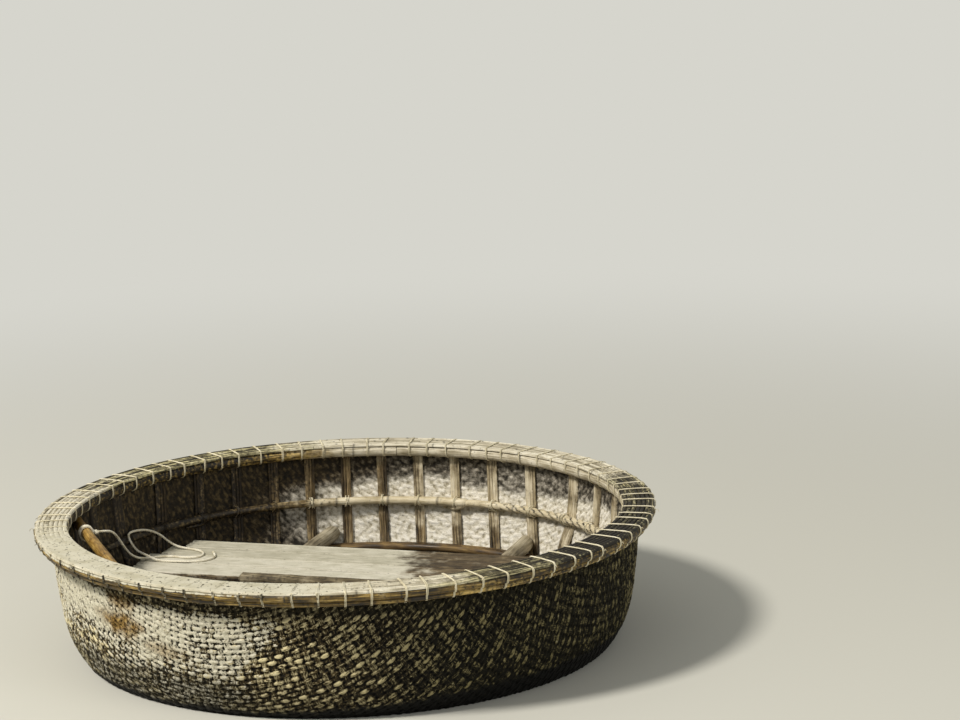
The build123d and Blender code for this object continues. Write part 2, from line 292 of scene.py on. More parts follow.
# %% [markdown]
# ## Finish for cord and rope
# The rope and the lashings are soft laid fibre: off-white, quite rough, greyer and browner where they are
# handled or lie in dirt. The fibre's own twist is too fine to see, so its hairs are drawn a little over a
# millimetre wide. A loop adds up weighted numbers, and a Mix node's sockets 6 and 7 take its two colours.


# %% Cord finish
FIBRE = 0.0012


def new_finish(name, **settings):
    """An empty material with its shader. settings go on the shader's own sockets."""
    finish = bpy.data.materials.new(name)
    finish.use_nodes = True
    tree = finish.node_tree
    shader = tree.nodes["Principled BSDF"]
    for socket, value in settings.items():
        shader.inputs[socket.replace("_", " ")].default_value = value
    return finish, tree, shader


def connect(tree, shader, **sources):
    """Links outputs to the shader's sockets."""
    for socket, source in sources.items():
        tree.links.new(source, shader.inputs[socket.replace("_", " ")])


def stretched_noise(tree, source, scale, **inputs):
    """Noise that is long one way and narrow the other, because its coordinates are scaled first."""
    stretched = add(tree, "Mapping", {"Vector": source, "Scale": scale}).outputs["Vector"]
    return add(tree, "TexNoise", {"Vector": stretched, "Scale": 1.0, **inputs}).outputs["Fac"]


def fibre_finish(name, clean, worn, soiled):
    """Soft laid fibre, patchy in three colours."""
    finish, tree, shader = new_finish(name, Roughness=0.9, IOR=1.5)
    here = add(tree, "TexCoord").outputs["Object"]
    patches = add(tree, "TexNoise", {"Vector": here, "Scale": 28.0, "Detail": 4.0}).outputs["Fac"]
    colour = add(tree, "ValToRGB", {"Fac": patches}, stops=[(0.26, soiled), (0.38, worn), (0.5, clean)])
    grain = add(tree, "UVMap", uv_map="UVMap").outputs["UV"]
    hairs = stretched_noise(tree, grain, (0.25 / FIBRE, 1 / FIBRE, 1.0), Detail=2.0)
    limits = {"From Min": 0.3, "From Max": 0.7, "To Min": 0.8, "To Max": 1.06}
    shade = add(tree, "MapRange", {"Value": hairs, **limits}).outputs["Result"]
    both = {0: 1.0, 6: colour.outputs["Color"], 7: shade}
    mixed = add(tree, "Mix", both, data_type="RGBA", blend_type="MULTIPLY").outputs[2]
    bump = add(tree, "Bump", {"Height": hairs, "Strength": 0.5, "Distance": 0.0006}).outputs["Normal"]
    connect(tree, shader, Base_Color=mixed, Normal=bump)
    return finish


rope_fibre = fibre_finish("laid_rope_off_white", "#f0ead8", "#dcd3ba", "#9c9070")
lashing_fibre = fibre_finish("lashing_twine_bleached", "#ded5b8", "#c0b48f", "#7d6e48")
print("cord finishes made")

# %% [markdown]
# ## The painter
# The rope is the boat's only free cord: eight millimetre laid rope, tied to the yellow pole at the left
# end. It drops to the boards, runs up over the wall pole, comes back and lies in loose loops. Its middle
# line is one smooth spline on the route's points, and three strands are wound round that line.

# %% Painter route
ROUTE = [
    (-0.812, 0.112, 0.5071), (-0.7811, 0.1204, 0.5071), (-0.766, 0.168, 0.487), (-0.757, 0.214, 0.457),
    (-0.749, 0.26, 0.425), (-0.741, 0.306, 0.392), (-0.731, 0.352, 0.362), (-0.718, 0.398, 0.339),
    (-0.702, 0.438, 0.323), (-0.678, 0.47, 0.3153), (-0.64, 0.486, 0.3143), (-0.598, 0.48, 0.3143),
    (-0.56, 0.46, 0.3143), (-0.522, 0.45, 0.3143), (-0.494, 0.474, 0.3143), (-0.494, 0.516, 0.3143),
    (-0.516, 0.552, 0.3143), (-0.551, 0.574, 0.3143), (-0.587, 0.586, 0.3203), (-0.6191, 0.5999, 0.3363),
    (-0.6449, 0.593, 0.3643), (-0.6824, 0.5605, 0.3906), (-0.7193, 0.5361, 0.3966), (-0.7471, 0.5002, 0.3966),
    (-0.7397, 0.4694, 0.3796), (-0.721, 0.461, 0.3491), (-0.701, 0.452, 0.3381), (-0.679, 0.44, 0.3311),
    (-0.65, 0.428, 0.3173), (-0.612, 0.42, 0.3143), (-0.572, 0.408, 0.3143), (-0.531, 0.398, 0.3143),
    (-0.49, 0.404, 0.3143), (-0.46, 0.43, 0.3143), (-0.45, 0.47, 0.3143), (-0.462, 0.51, 0.3143),
]
ROPE = 0.008


def smooth_line(name, points):
    """The points that Blender gives for a smooth spline on these control points."""
    curve = bpy.data.curves.new(name, "CURVE")
    curve.dimensions = "3D"
    curve.resolution_u = 16
    spline = curve.splines.new("NURBS")
    spline.points.add(len(points) - 1)
    spline.points.foreach_set("co", [x for p in points for x in (*p, 1.0)])
    spline.order_u = 3
    spline.use_endpoint_u = True
    carrier = bpy.data.objects.new(name, curve)
    bpy.context.scene.collection.objects.link(carrier)
    bpy.context.view_layer.update()
    mesh = bpy.data.meshes.new_from_object(carrier.evaluated_get(bpy.context.evaluated_depsgraph_get()))
    line = np.array([v.co for v in mesh.vertices], float)
    bpy.data.objects.remove(carrier)
    return line


def even(line, step):
    """The same line with points a step apart."""
    run = run_along(line)
    places = np.linspace(0, run[-1], max(2, round(run[-1] / step)))
    return stack(*[np.interp(places, run, line[:, axis]) for axis in range(3)])


STRANDS, STRAND_SIDES, POINTS_A_TURN, LAY = 3, 7, 11, 0.026


def strands(line, diameter, lay):
    """Laid rope: strands wound round a line, touching each other. lay is the length of one full turn."""
    half = math.sin(math.pi / STRANDS)
    reach = diameter / 2 / (1 + 1 / half) / half
    line = even(line, lay / POINTS_A_TURN)
    core = swept(line, 1.0, 4)["points"]
    side, lift = core[:, 0] - line, core[:, 1] - line
    run = np.arange(len(line)) * (2 * math.pi / POINTS_A_TURN)
    made = []
    for index in range(STRANDS):
        angle = (run + 2 * math.pi * index / STRANDS)[:, None]
        wound = line + reach * (side * np.cos(angle) + lift * np.sin(angle))
        made.append(swept(wound, diameter / 2 - reach, STRAND_SIDES))
    return made


painter_path = smooth_line("painter_line", ROUTE)
painter = piece("painter_laid_rope", strands(painter_path, ROPE, LAY), rope_fibre, ["painter_rope"])
painter_length = float(run_along(painter_path)[-1])
print("painter is", round(painter_length, 3), "m long")

# %% [markdown]
# ## Hitch and whipping
# The rope starts in a hitch: three turns round the pole, and two turns round itself that lock them. Its
# loose end is whipped with thin twine, so that the strands stay together.

# %% Hitch and whipping
BEAM_FAR, BEAM_NEAR = np.array([-0.8921, 0.256, 0.5071]), np.array([-0.640, -0.6721, 0.5071])
HITCH_FROM_END = 0.160
beam_way = (BEAM_NEAR - BEAM_FAR) / np.linalg.norm(BEAM_NEAR - BEAM_FAR)
inwards = np.array([-beam_way[1], beam_way[0], 0.0])
hitch_middle = BEAM_FAR + beam_way * HITCH_FROM_END
upright = np.array([0.0, 0.0, 1.0])
TURN_STEPS = 24


def winding(middle, axis, across, up, radius, pitch, turns, start):
    """A helix of rope round an axis. It starts at an angle in degrees, measured from across towards up."""
    steps = int(TURN_STEPS * turns) + 1
    angle = np.radians(start) + np.linspace(0, 2 * math.pi * turns, steps)[:, None]
    along = (angle - angle.mean()) / (2 * math.pi) * pitch
    return middle + axis * along + radius * (across * np.cos(angle) + up * np.sin(angle))


hitch_turns = winding(
    hitch_middle, beam_way, inwards, upright, radius=0.0223, pitch=0.0085, turns=3.1, start=-60,
)
lock_turns = winding(
    hitch_middle + inwards * 0.0325, inwards, beam_way, upright,
    radius=0.0052, pitch=0.0062, turns=2.1, start=20,
)
under_lock = np.array([hitch_middle + inwards * reach for reach in (0.018, 0.028, 0.0395)])
hitch_parts = strands(hitch_turns, ROPE * 0.96, LAY) + strands(lock_turns, 0.0068, 0.022)
hitch_parts += strands(under_lock, 0.0066, LAY)
hitch = piece("painter_hitch_turns", hitch_parts, rope_fibre, ["painter_hitch"])
end, before_end = painter_path[-1], even(painter_path, 0.002)[-8]
end_way = (end - before_end) / np.linalg.norm(end - before_end)
whip_turns = winding(
    end - end_way * 0.008, end_way, np.cross(end_way, upright), upright,
    radius=0.0043, pitch=0.0013, turns=8, start=0,
)
whipping = piece("painter_whipping", [swept(whip_turns, 0.0007, 5)], lashing_fibre)
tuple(ROUTE[0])

# %% [markdown]
# ## The weave, laid out flat
# The hull starts as a flat sheet of plain weave. Narrow weft strips run over and under broad warp strips,
# and the sheet is then pressed into a bowl. The script does the same: it lays strips on a flat sheet and
# carries each point over to the bowl, at its distance from the middle. So the weave runs level at one side,
# upright a quarter turn further and slantwise between, and it tightens up the wall as the real one does.

# %% From the sheet to the bowl
WEFT_TURN = math.radians(-117)
ACROSS_WEFT = np.array([math.cos(WEFT_TURN), math.sin(WEFT_TURN)])
ALONG_WEFT = np.array([-math.sin(WEFT_TURN), math.cos(WEFT_TURN)])
WEFT_PITCH, WARP_PITCH = 0.017, 0.032
WEFT_WIDTH, WARP_WIDTH = 0.0132, 0.0262
SHEET_EDGE = SHEET - 0.004
DEEP = 0.84  # metres from the middle of the sheet; nearer than this, under water, fewer points do


def on_bowl(p, q, inset):
    """p runs along the weft and q along the warp, in metres on the flat sheet."""
    flat = p[..., None] * ALONG_WEFT + q[..., None] * ACROSS_WEFT
    length = np.hypot(p, q)
    way = flat / np.maximum(length, 1e-9)[..., None]
    radius, height = section(length, inset)
    return stack(radius * way[..., 0], radius * way[..., 1], height)


print("one float is", round(1000 * WARP_PITCH, 1), "mm long on the sheet and shorter on the wall")

# %% [markdown]
# ## Where lime, rust, water and painted light and shade are
# The maker brushes the hull with resin, dung and lime. Here lime is left as a thick white coat on one
# side, the side that faces the light, so the white there is also painted sunlight. Thinner patches fade into
# bare cane towards the front, and the water keeps the foot of the wall black. Painted shade darkens a hem
# under the rim, which is the rim's shadow, the right side, and the foot on the right, under the bilge.
# These are numbers from 0 to 1 for each point, by its direction and height, and the finish turns them into
# colour. Directions are azimuths in degrees: 0 is the boat's right end, -90 its near side, 180 its left end.


# %% Coats of the hull
LIMED_SIDE, BRIGHTEST = -152, -121
RUST_SPOTS = [  # azimuth, height, half width in degrees, half height in metres, strength
    (-137.5, 0.408, 8.0, 0.048, 1.0), (-136.5, 0.478, 5.0, 0.034, 0.75), (-128, 0.350, 5.5, 0.032, 0.55),
]


def azimuth_of(points):
    """Directions from the middle of the boat, in degrees."""
    return np.degrees(np.arctan2(points[..., 1], points[..., 0]))


def away(azimuth, middle):
    """Degrees from one direction to another, from -180 to 180."""
    return (azimuth - middle + 180) % 360 - 180


def coats(points):
    """Lime with painted sunlight, rust, damp with painted shade, olive tint with painted shade, dirt with
    painted shade, and the thickness of the coat.
    """
    azimuth, height = azimuth_of(points), points[..., 2]
    patch = drift(points, 0.22, 11) * 0.5 + drift(points, 0.075, 12) * 0.5
    fine = drift(points, 0.024, 13)
    left = np.abs(away(azimuth, LIMED_SIDE))
    # Lime is solid high on its side, brushed on round that, thin beyond, and left in traces behind. That
    # side faces the light, so its solid white is part lime and part painted sunlight.
    bright = np.exp(-(((azimuth - BRIGHTEST) / 13) ** 2))
    foot = 0.318 - 0.040 * bright + 0.10 * fade(azimuth, -114, -101)
    thin = 0.44 * fade(left, 52, 38)
    brushed = (0.62 + 0.08 * bright) * fade(left, 55, 46) * fade(height, foot - 0.06, foot + 0.04)
    solid = 1.08 * fade(left, 17, 8) * fade(height, 0.33, 0.42)
    behind = 0.26 * fade(azimuth, 20, 60)
    lime = np.maximum.reduce([thin, brushed, solid, behind])
    lime += (0.26 * patch + 0.22 * fine) * fade(left, 66, 48) + 0.3 * patch * (azimuth > 0)
    # Dirt and painted shade: the hem under the rim is the rim's painted shadow, and the lime is taken off
    # there; the right side gets painted shade over its dirt, and the wall is darker low down.
    rim_shadow_hem = 0.512 - 0.028 * fade(azimuth, -152, -132) + 0.011 * patch + 0.009 * fine
    dirt = fade(height, rim_shadow_hem - 0.014, rim_shadow_hem + 0.012)
    lime *= 1 - 0.85 * dirt
    right = fade(azimuth, -116, -48) * (1 - 0.5 * fade(azimuth, 20, 90))
    shaded = 0.74 * fade(azimuth, -88, -44) * fade(azimuth, 100, 40) + 0.5 * patch * right
    low = fade(height, 0.315, 0.235) * np.maximum(fade(left, 64, 36), 0.4 * fade(azimuth, 20, 60))
    for place in (shaded, low + 0.25 * patch * low):
        dirt = np.maximum(dirt, np.clip(place, 0, 1))
    rust = 0 * height
    for where, level, wide, tall, strength in RUST_SPOTS:
        spot = np.hypot(away(azimuth, where) / wide, (height - level) / tall)
        rust = np.maximum(rust, strength * fade(spot + 0.5 * patch + 0.3 * fine, 1.3, 0.5))
    rust = np.clip(rust, 0, 1)
    # The wet foot ends in a wavy line. It rises on the right, where the black band is painted shade and a
    # painted reflection under the bilge as well as wet cane.
    line = 0.169 + 0.045 * right + 0.006 * patch + 0.004 * fine
    # olive is a green tint with darker colours than the bare cane: painted shade on the right side.
    return {
        "lime": np.clip(lime, 0, 1), "rust": rust, "damp": fade(height, line + 0.010, line - 0.004),
        "olive": fade(np.abs(azimuth + 45), 75, 20), "dirt": dirt,
        "coat": fade(lime, 0.84, 1.06) * (1 - 0.6 * rust),
    }


print("lime at the left", coats(np.array([[-0.86, -0.33, 0.42]]))["lime"].round(2))

# %% [markdown]
# ## Finish of the weave
# Split cane that has been brushed with coating and left in the weather: brown fibre with paler crests, which
# are wear and painted highlight, dirt and painted shade in the low places, under the rim and on the right
# side, chalky lime with dark pinholes where it has flaked, and a wet black foot that shines, with painted
# shade under the bilge. Real fibre is finer than a pixel here, so its streaks are drawn about four
# millimetres wide.


# %% Weave finish
WEAVE_STREAKS = (70.0, 260.0, 1.0)  # per metre along and across the strip
# SOIL_AND_SHADE_COLOUR paints dirt and painted shade; WET_AND_SHADED_CANE paints wet cane and the painted
# shade under the bilge.
SOIL_AND_SHADE_COLOUR, WET_AND_SHADED_CANE = "#191609", "#080704"


def woven_finish(name, dark, body, light, olive_body):
    """dark, body and light colour the bare cane. olive_body is its colour where it has stayed green; that
    olive ramp is darker, and on the right side it is painted shade.
    """
    finish, tree, shader = new_finish(name, IOR=1.5, Specular_IOR_Level=0.2)
    here = add(tree, "TexCoord").outputs["Object"]
    grain = add(tree, "UVMap", uv_map="UVMap").outputs["UV"]
    fibres = stretched_noise(tree, grain, WEAVE_STREAKS, Detail=4.0)
    noise = {"Vector": here, "Scale": 95.0, "Detail": 6.0, "Roughness": 0.72}
    flecks = add(tree, "TexNoise", noise).outputs["Fac"]
    crest, tone, lime, rust, damp, olive, dirt = [
        add(tree, "Attribute", attribute_name=n).outputs["Fac"]
        for n in ("crest", "tone", "lime", "rust", "damp", "olive", "dirt")
    ]
    # Higher crests are painted paler: wear and painted highlight on the tops of the floats.
    level = fibres
    for part, weight in ((tone, 0.22), (crest, 0.34), (flecks, 0.90)):
        level = add(tree, "Math", {0: part, 1: weight, 2: level}, operation="MULTIPLY_ADD").outputs[0]
    level = add(tree, "MapRange", {"Value": level, "From Min": 0.76, "From Max": 1.46}).outputs[0]
    brown, green, chalk, red = [
        add(tree, "ValToRGB", {"Fac": source}, stops=stops).outputs["Color"] for source, stops in (
            (level, [(0.38, dark), (0.60, body), (0.85, light)]),
            (level, [(0.42, "#080703"), (0.65, olive_body), (0.94, "#9c9166")]),
            (flecks, [(0.34, "#948a6e"), (0.46, "#ccc6b0"), (0.64, "#e0dbc8")]),
            (flecks, [(0.40, "#3c2a0e"), (0.5, "#7c5c24"), (0.64, "#b99a52")]),
        )
    ]
    # Lime holds on to the crests and flakes off in flecks. Where it hasn't filled the gaps, the crest number
    # darkens them: dirt and painted shade.
    edge = lime
    for part, weight in ((flecks, 2.6), (crest, 0.60)):
        edge = add(tree, "Math", {0: part, 1: weight, 2: edge}, operation="MULTIPLY_ADD").outputs[0]
    limits = {"Value": edge, "From Min": 2.20, "From Max": 2.46}
    limed = add(tree, "MapRange", limits, interpolation_type="SMOOTHSTEP").outputs[0]
    stain = add(tree, "Math", {0: rust, 1: 0.96}, operation="MULTIPLY").outputs[0]
    limits = {"Value": crest, "From Min": 0.22, "From Max": 0.78, "To Min": 0.06, "To Max": 1.0}
    gap_dirt_and_shade = add(tree, "MapRange", limits).outputs[0]
    filled = add(tree, "Math", {0: gap_dirt_and_shade, 1: limed}, operation="MAXIMUM").outputs[0]
    limits = {"Value": flecks, "From Min": 0.42, "From Max": 0.64, "To Min": 0.92, "To Max": 0.4}
    soiled_and_shaded = add(tree, "MapRange", limits).outputs[0]
    soiled_and_shaded = add(tree, "Math", {0: soiled_and_shaded, 1: dirt}, operation="MULTIPLY").outputs[0]
    colour = brown
    for share, over in ((olive, green), (limed, chalk), (stain, red)):
        colour = add(tree, "Mix", {0: share, 6: colour, 7: over}, data_type="RGBA").outputs[2]
    both = {0: 1.0, 6: colour, 7: filled}
    colour = add(tree, "Mix", both, data_type="RGBA", blend_type="MULTIPLY").outputs[2]
    # Dirt with its painted shade goes on, then the wet foot with its painted shade.
    for share, over in ((soiled_and_shaded, SOIL_AND_SHADE_COLOUR), (damp, WET_AND_SHADED_CANE)):
        colour = add(tree, "Mix", {0: share, 6: colour, 7: over}, data_type="RGBA").outputs[2]
    shine = add(tree, "MapRange", {"Value": damp, "To Min": 0.78, "To Max": 0.5}).outputs[0]
    relief = add(tree, "Math", {0: flecks, 1: 1.4, 2: fibres}, operation="MULTIPLY_ADD").outputs[0]
    bump = add(tree, "Bump", {"Height": relief, "Strength": 1.0, "Distance": 0.0034}).outputs["Normal"]
    connect(tree, shader, Base_Color=colour, Roughness=shine, Normal=bump)
    return finish


hull_weave = woven_finish("split_bamboo_weave_limed", "#120d05", "#5a4927", "#eddfb2", "#252112")
print("weave finish has", len(hull_weave.node_tree.nodes), "nodes")

# %% [markdown]
# ## Weft and warp
# The narrow weft makes the grains that the eye sees: each float rises over a warp strip, tapers and dives
# under the next. The warp stays nearly straight behind it. Floats are modelled, because bump alone gives no
# dark gaps and no ragged outline. Under water fewer points do.


# %% Strips of the weave
# How high a float stands, from 0 to 1, at shares of its cell, where it goes over and where it goes under.
OVER = {0.0: 0.72, 0.3: 0.95, 0.5: 1.0, 0.7: 0.95, 0.35: 0.96, 0.65: 0.96}
UNDER = {0.0: 0.72, 0.3: 0.14, 0.5: 0.0, 0.7: 0.14, 0.35: 0.10, 0.65: 0.10}
FLOAT_OFFSETS, BACK_OFFSETS, FEW_OFFSETS = (0.0, 0.3, 0.5, 0.7), (0.0, 0.35, 0.65), (0.0, 0.5)
ACROSS = np.array([-0.5, -0.22, 0.22, 0.5])  # the four points across a strip, as shares of its width
ACROSS_UV = np.array([-0.5, -0.28, 0.28, 0.5])
EDGE, EDGE_SHADE = np.abs(ACROSS) > 0.4, 0.20
BACKS_FROM = 0.965  # metres from the middle; nearer than this the backs lie under the boards


def ribbon(p, q, inset, crest, width, drop, sideways):
    """One bevelled strip. Its edges lie deeper by drop, and sideways is the sheet's axis across it."""
    offset = width[:, None] * ACROSS
    p_grid, q_grid = p[:, None] + offset * sideways[0], q[:, None] + offset * sideways[1]
    points = on_bowl(p_grid, q_grid, inset[:, None] + np.where(EDGE, drop, 0.0))
    return points, np.broadcast_to(crest[:, None] - EDGE_SHADE * EDGE, points.shape[:2])


def halves(p):
    """Slices of the two sides of the middle, where the back of a strip is cut off below."""
    turns = np.flatnonzero(np.diff(p) > 1.2 * WARP_PITCH) + 1
    edges = [0, *turns, len(p)]
    return [slice(start, end) for start, end in zip(edges, edges[1:])]


def weft_strip(index, inner=False):
    """One narrow strip, as one sheet, or its backs inside the boat, as a sheet for each side."""
    middle = (index + 0.5) * WEFT_PITCH
    reach = math.sqrt(SHEET_EDGE**2 - middle**2)
    count = math.ceil(reach / WARP_PITCH)
    cells = np.arange(-count, count)
    offsets = BACK_OFFSETS if inner else FLOAT_OFFSETS
    p = ((cells[:, None] + np.array(offsets)) * WARP_PITCH).ravel()
    over = np.repeat((cells + index) % 2 == 0, len(offsets)) ^ inner
    high, low = (np.tile([table[offset] for offset in offsets], len(cells)) for table in (OVER, UNDER))
    level = np.where(over, high, low)
    cell_tone = np.repeat(2 * cell_value(stack(cells, index, 5), 3) - 1, len(offsets))
    strip_tone = 2 * cell_value(np.array([[index, 3, 8]]), 4)[0] - 1
    length = np.hypot(p, middle)
    few = np.isin(np.tile(offsets, len(cells)), FEW_OFFSETS)
    keep = (np.abs(p) < reach) & ((length > BACKS_FROM) if inner else (length > DEEP) | few)
    q = middle + 0.0014 * drift(stack(p, 3 * middle, 0), 0.06, 21)
    q = q + 0.0022 * drift(stack(p, middle, 3), 0.4, 22)
    lift = 0.0007 * cell_tone + 0.0005 * drift(stack(p, q, 0), 0.03, 23)
    p, q, level, cell_tone, lift = (column[keep] for column in (p, q, level, cell_tone, lift))
    sheets = []
    for part in halves(p) if inner else [slice(0, len(p))]:
        a, b, height = p[part], q[part], level[part]
        if len(a) < 3:
            continue
        flat = np.abs(2 * height - 1)
        if inner:
            width = WEFT_WIDTH * (0.8 + 0.2 * flat)
            points, crest = ribbon(a, b, 0.0076 + 0.0024 * height, height, width, -0.0011, (0, 1))
        else:
            coat = coats(on_bowl(a, b, 0 * a))["coat"]
            inset = (0.0066 - 0.0062 * height - lift[part]) * (1 - 0.8 * coat) - 0.0004
            width = WEFT_WIDTH * (0.62 + 0.38 * flat + 0.35 * coat) * (1 + 0.12 * cell_tone[part])
            points, crest = ribbon(a, b, inset, height, width, 0.0029, (0, -1))
        sheets.append({
            "points": points, "u": a + 0.37 * index, "v": ACROSS_UV * WEFT_WIDTH + 0.05 * index,
            "crest": crest, "tone": (0.65 * cell_tone[part] + 0.35 * strip_tone)[:, None],
            **(inner_coats if inner else coats)(points),
        })
    return sheets


def warp_strip(index):
    """One broad strip. It runs across the weft, nearly straight and mostly behind it."""
    middle = (index + 0.5) * WARP_PITCH
    reach = math.sqrt(SHEET_EDGE**2 - middle**2)
    count = math.ceil(reach / WEFT_PITCH)
    cells = np.arange(-count, count)
    cells = cells[np.abs((cells + 0.5) * WEFT_PITCH) < reach]
    over = (cells + index) % 2 == 1
    q = (cells + 0.5) * WEFT_PITCH
    p = middle + 0.0018 * drift(stack(q, middle, 0), 0.3, 24)
    tone = 2 * cell_value(stack(cells, index, 9), 5) - 1
    coat = coats(on_bowl(p, q, 0 * q))["coat"]
    inset = (0.0044 - 0.0030 * over) * (1 - 0.72 * coat) + 0.0003
    width = WARP_WIDTH * (1 + 0.18 * coat)
    # The warp's crest is low where it runs under the weft, so those parts are painted darker: painted shade
    # beside the floats.
    points, crest = ribbon(p, q, inset, np.where(over, 0.74, 0.34), width, 0.0020, (1, 0))
    return {
        "points": points, "u": q + 0.53 * index, "v": ACROSS_UV * WARP_WIDTH + 0.09 * index,
        "crest": crest, "tone": (0.6 * tone)[:, None], **coats(points),
    }


weft_count, warp_count = int(SHEET_EDGE / WEFT_PITCH), int(SHEET_EDGE / WARP_PITCH)
weft = [sheet for index in range(-weft_count, weft_count) for sheet in weft_strip(index)]
piece("hull_weft_strips", weft, hull_weave)
warp = [warp_strip(index) for index in range(-warp_count, warp_count)]
piece("hull_warp_strips", warp, hull_weave)

# %% [markdown]
# ## The skin behind the weave
# Between the strips the gaps are stopped with a dark paste of dung and resin. It is one thin shell from rim
# to rim. Inside the boat the same coat is brushed over the cane, greyish white on the side that dries in the
# sun and dark on the other, which is also painted light and painted shade, with the rim's painted shadow
# along the top, and the backs of the weft strips stand up in it.


# %% Core shell and inner face
SUNNY_SIDE = 8
CORE_OUT, CORE_IN, CORE_ROWS, CORE_COLUMNS, CORE_EDGE = 0.0068, 0.0083, 74, 192, 5.9


def inner_coats(points):
    """Lime on the sunny side, less under the rim and low down, and damp on the bottom. The lime by side is
    painted light and shade, and its cut under the rim is the rim's painted shadow.
    """
    height = points[..., 2]
    patch = drift(points, 0.30, 31) * 0.5 + drift(points, 0.09, 32) * 0.5
    # Painted light and shade: lime is heavy on the sunny side and thin on the other, where shade falls.
    lime = 0.12 + 0.8 * fade(np.abs(away(azimuth_of(points), SUNNY_SIDE)), 112, 64) + 0.22 * patch
    lime *= 0.30 + 0.70 * fade(height, 0.14, 0.27)
    # The rim's painted shadow: lime is cut in a band under the rim, so the dark resin shows.
    lime *= 1 - 0.63 * fade(height + 0.05 * patch, 0.402, 0.456)
    return {"lime": np.clip(lime, 0, 1), "damp": 0.75 * fade(height, 0.12, 0.03)}


def plaster_finish(name):
    """A thick brushed coat over the cane: soft lumps, grey white where limed, dark resin where not. The lime
    number also carries painted light, and low crests are painted darker: dirt and painted shade.
    """
    finish, tree, shader = new_finish(name, Roughness=0.86, IOR=1.5)
    here = add(tree, "TexCoord").outputs["Object"]
    noises = (
        {"Scale": 62.0, "Detail": 2.5, "Roughness": 0.5}, {"Scale": 210.0, "Detail": 4.0, "Roughness": 0.7},
    )
    lumps, flecks = [add(tree, "TexNoise", {"Vector": here, **noise}).outputs["Fac"] for noise in noises]
    crest, tone, lime, damp = [
        add(tree, "Attribute", attribute_name=n).outputs["Fac"] for n in ("crest", "tone", "lime", "damp")
    ]
    # crest paints the raised backs lighter and the hollows darker: dirt and painted shade.
    level = lumps
    for part, weight in ((crest, 0.22), (tone, 0.07), (flecks, 0.35)):
        level = add(tree, "Math", {0: part, 1: weight, 2: level}, operation="MULTIPLY_ADD").outputs[0]
    resin, chalk = [
        add(tree, "ValToRGB", {"Fac": level}, stops=stops).outputs["Color"] for stops in (
            [(0.62, "#181309"), (0.80, "#332917"), (1.0, "#5d4f33")],
            [(0.56, "#9f967f"), (0.72, "#d6cfbd"), (0.94, "#f0ebdf")],
        )
    ]
    share = add(tree, "Math", {0: level, 1: 0.35, 2: lime}, operation="MULTIPLY_ADD").outputs[0]
    limits = {"Value": share, "From Min": 0.5, "From Max": 1.0}
    share = add(tree, "MapRange", limits, interpolation_type="SMOOTHSTEP").outputs[0]
    colour = resin
    for share, over in ((share, chalk), (damp, "#120f09")):
        colour = add(tree, "Mix", {0: share, 6: colour, 7: over}, data_type="RGBA").outputs[2]
    bump = add(tree, "Bump", {"Height": level, "Strength": 0.9, "Distance": 0.006}).outputs["Normal"]
    connect(tree, shader, Base_Color=colour, Normal=bump)
    return finish


inside_coat = plaster_finish("resin_and_lime_coat_brushed")
backs = [sheet for index in range(-weft_count, weft_count) for sheet in weft_strip(index, inner=True)]
piece("inner_weft_backs", backs, inside_coat)


def shell_face(inset, outside):
    """One face of the core. The outer one has its rows the other way round, so that it looks outwards."""
    lengths = np.linspace(0.0004, SHEET, CORE_ROWS)
    turn = np.linspace(0, 2 * math.pi, CORE_COLUMNS, endpoint=False)[:, None]
    radius, height = section(lengths, inset)
    points = stack(radius * np.cos(turn), radius * np.sin(turn), height)
    if outside:
        points = points[:, ::-1]
    numbers = coats(points) if outside else inner_coats(points)
    numbers.pop("coat", None)
    return {
        "points": points, "u": np.linspace(0, CORE_EDGE, CORE_COLUMNS + 1), "v": lengths, "ring": True,
        # A crest of 0.18 has the finish paint the outer core nearly black between the strips: dark paste and
        # painted shade.
        "crest": 0.18 if outside else 0.35 + 0.2 * drift(points, 0.013, 33),
        "tone": 0.5 * drift(points, 0.04, 34), **numbers,
    }


piece("hull_core_outside", [shell_face(CORE_OUT, True)], hull_weave, ["basket_skin"])
piece("hull_core_inside", [shell_face(CORE_IN, False)], inside_coat)

# %% [markdown]
# ## Cane, from fresh to bleached, with painted sunlight and shade
# Bamboo splits into long straight fibres, so its finish is streaks along the grain. It is yellow when
# fresh, turns brown in use, and sun and salt bleach it to bone. The bone colours also serve as painted
# sunlight and the fresh ones as painted shade, so a piece is paler on the side where the light falls. Each
# piece carries
# numbers on its points: tone, bleach with painted sunlight, grime for dirt in the low places with painted
# shade in creases, grooves and on the shaded side, coat for lime and resin brushed over it, and node for the
# dark rings of the cane. Fibres are finer than a pixel, so a streak is 1.4 to 4.5 mm wide.


# %% Cane finish
STOPS = (0.54, 0.70, 0.86)
LIME_WASH, PIT = [(0.36, "#b9b39b"), (0.56, "#cbc6b2")], "#39321c"


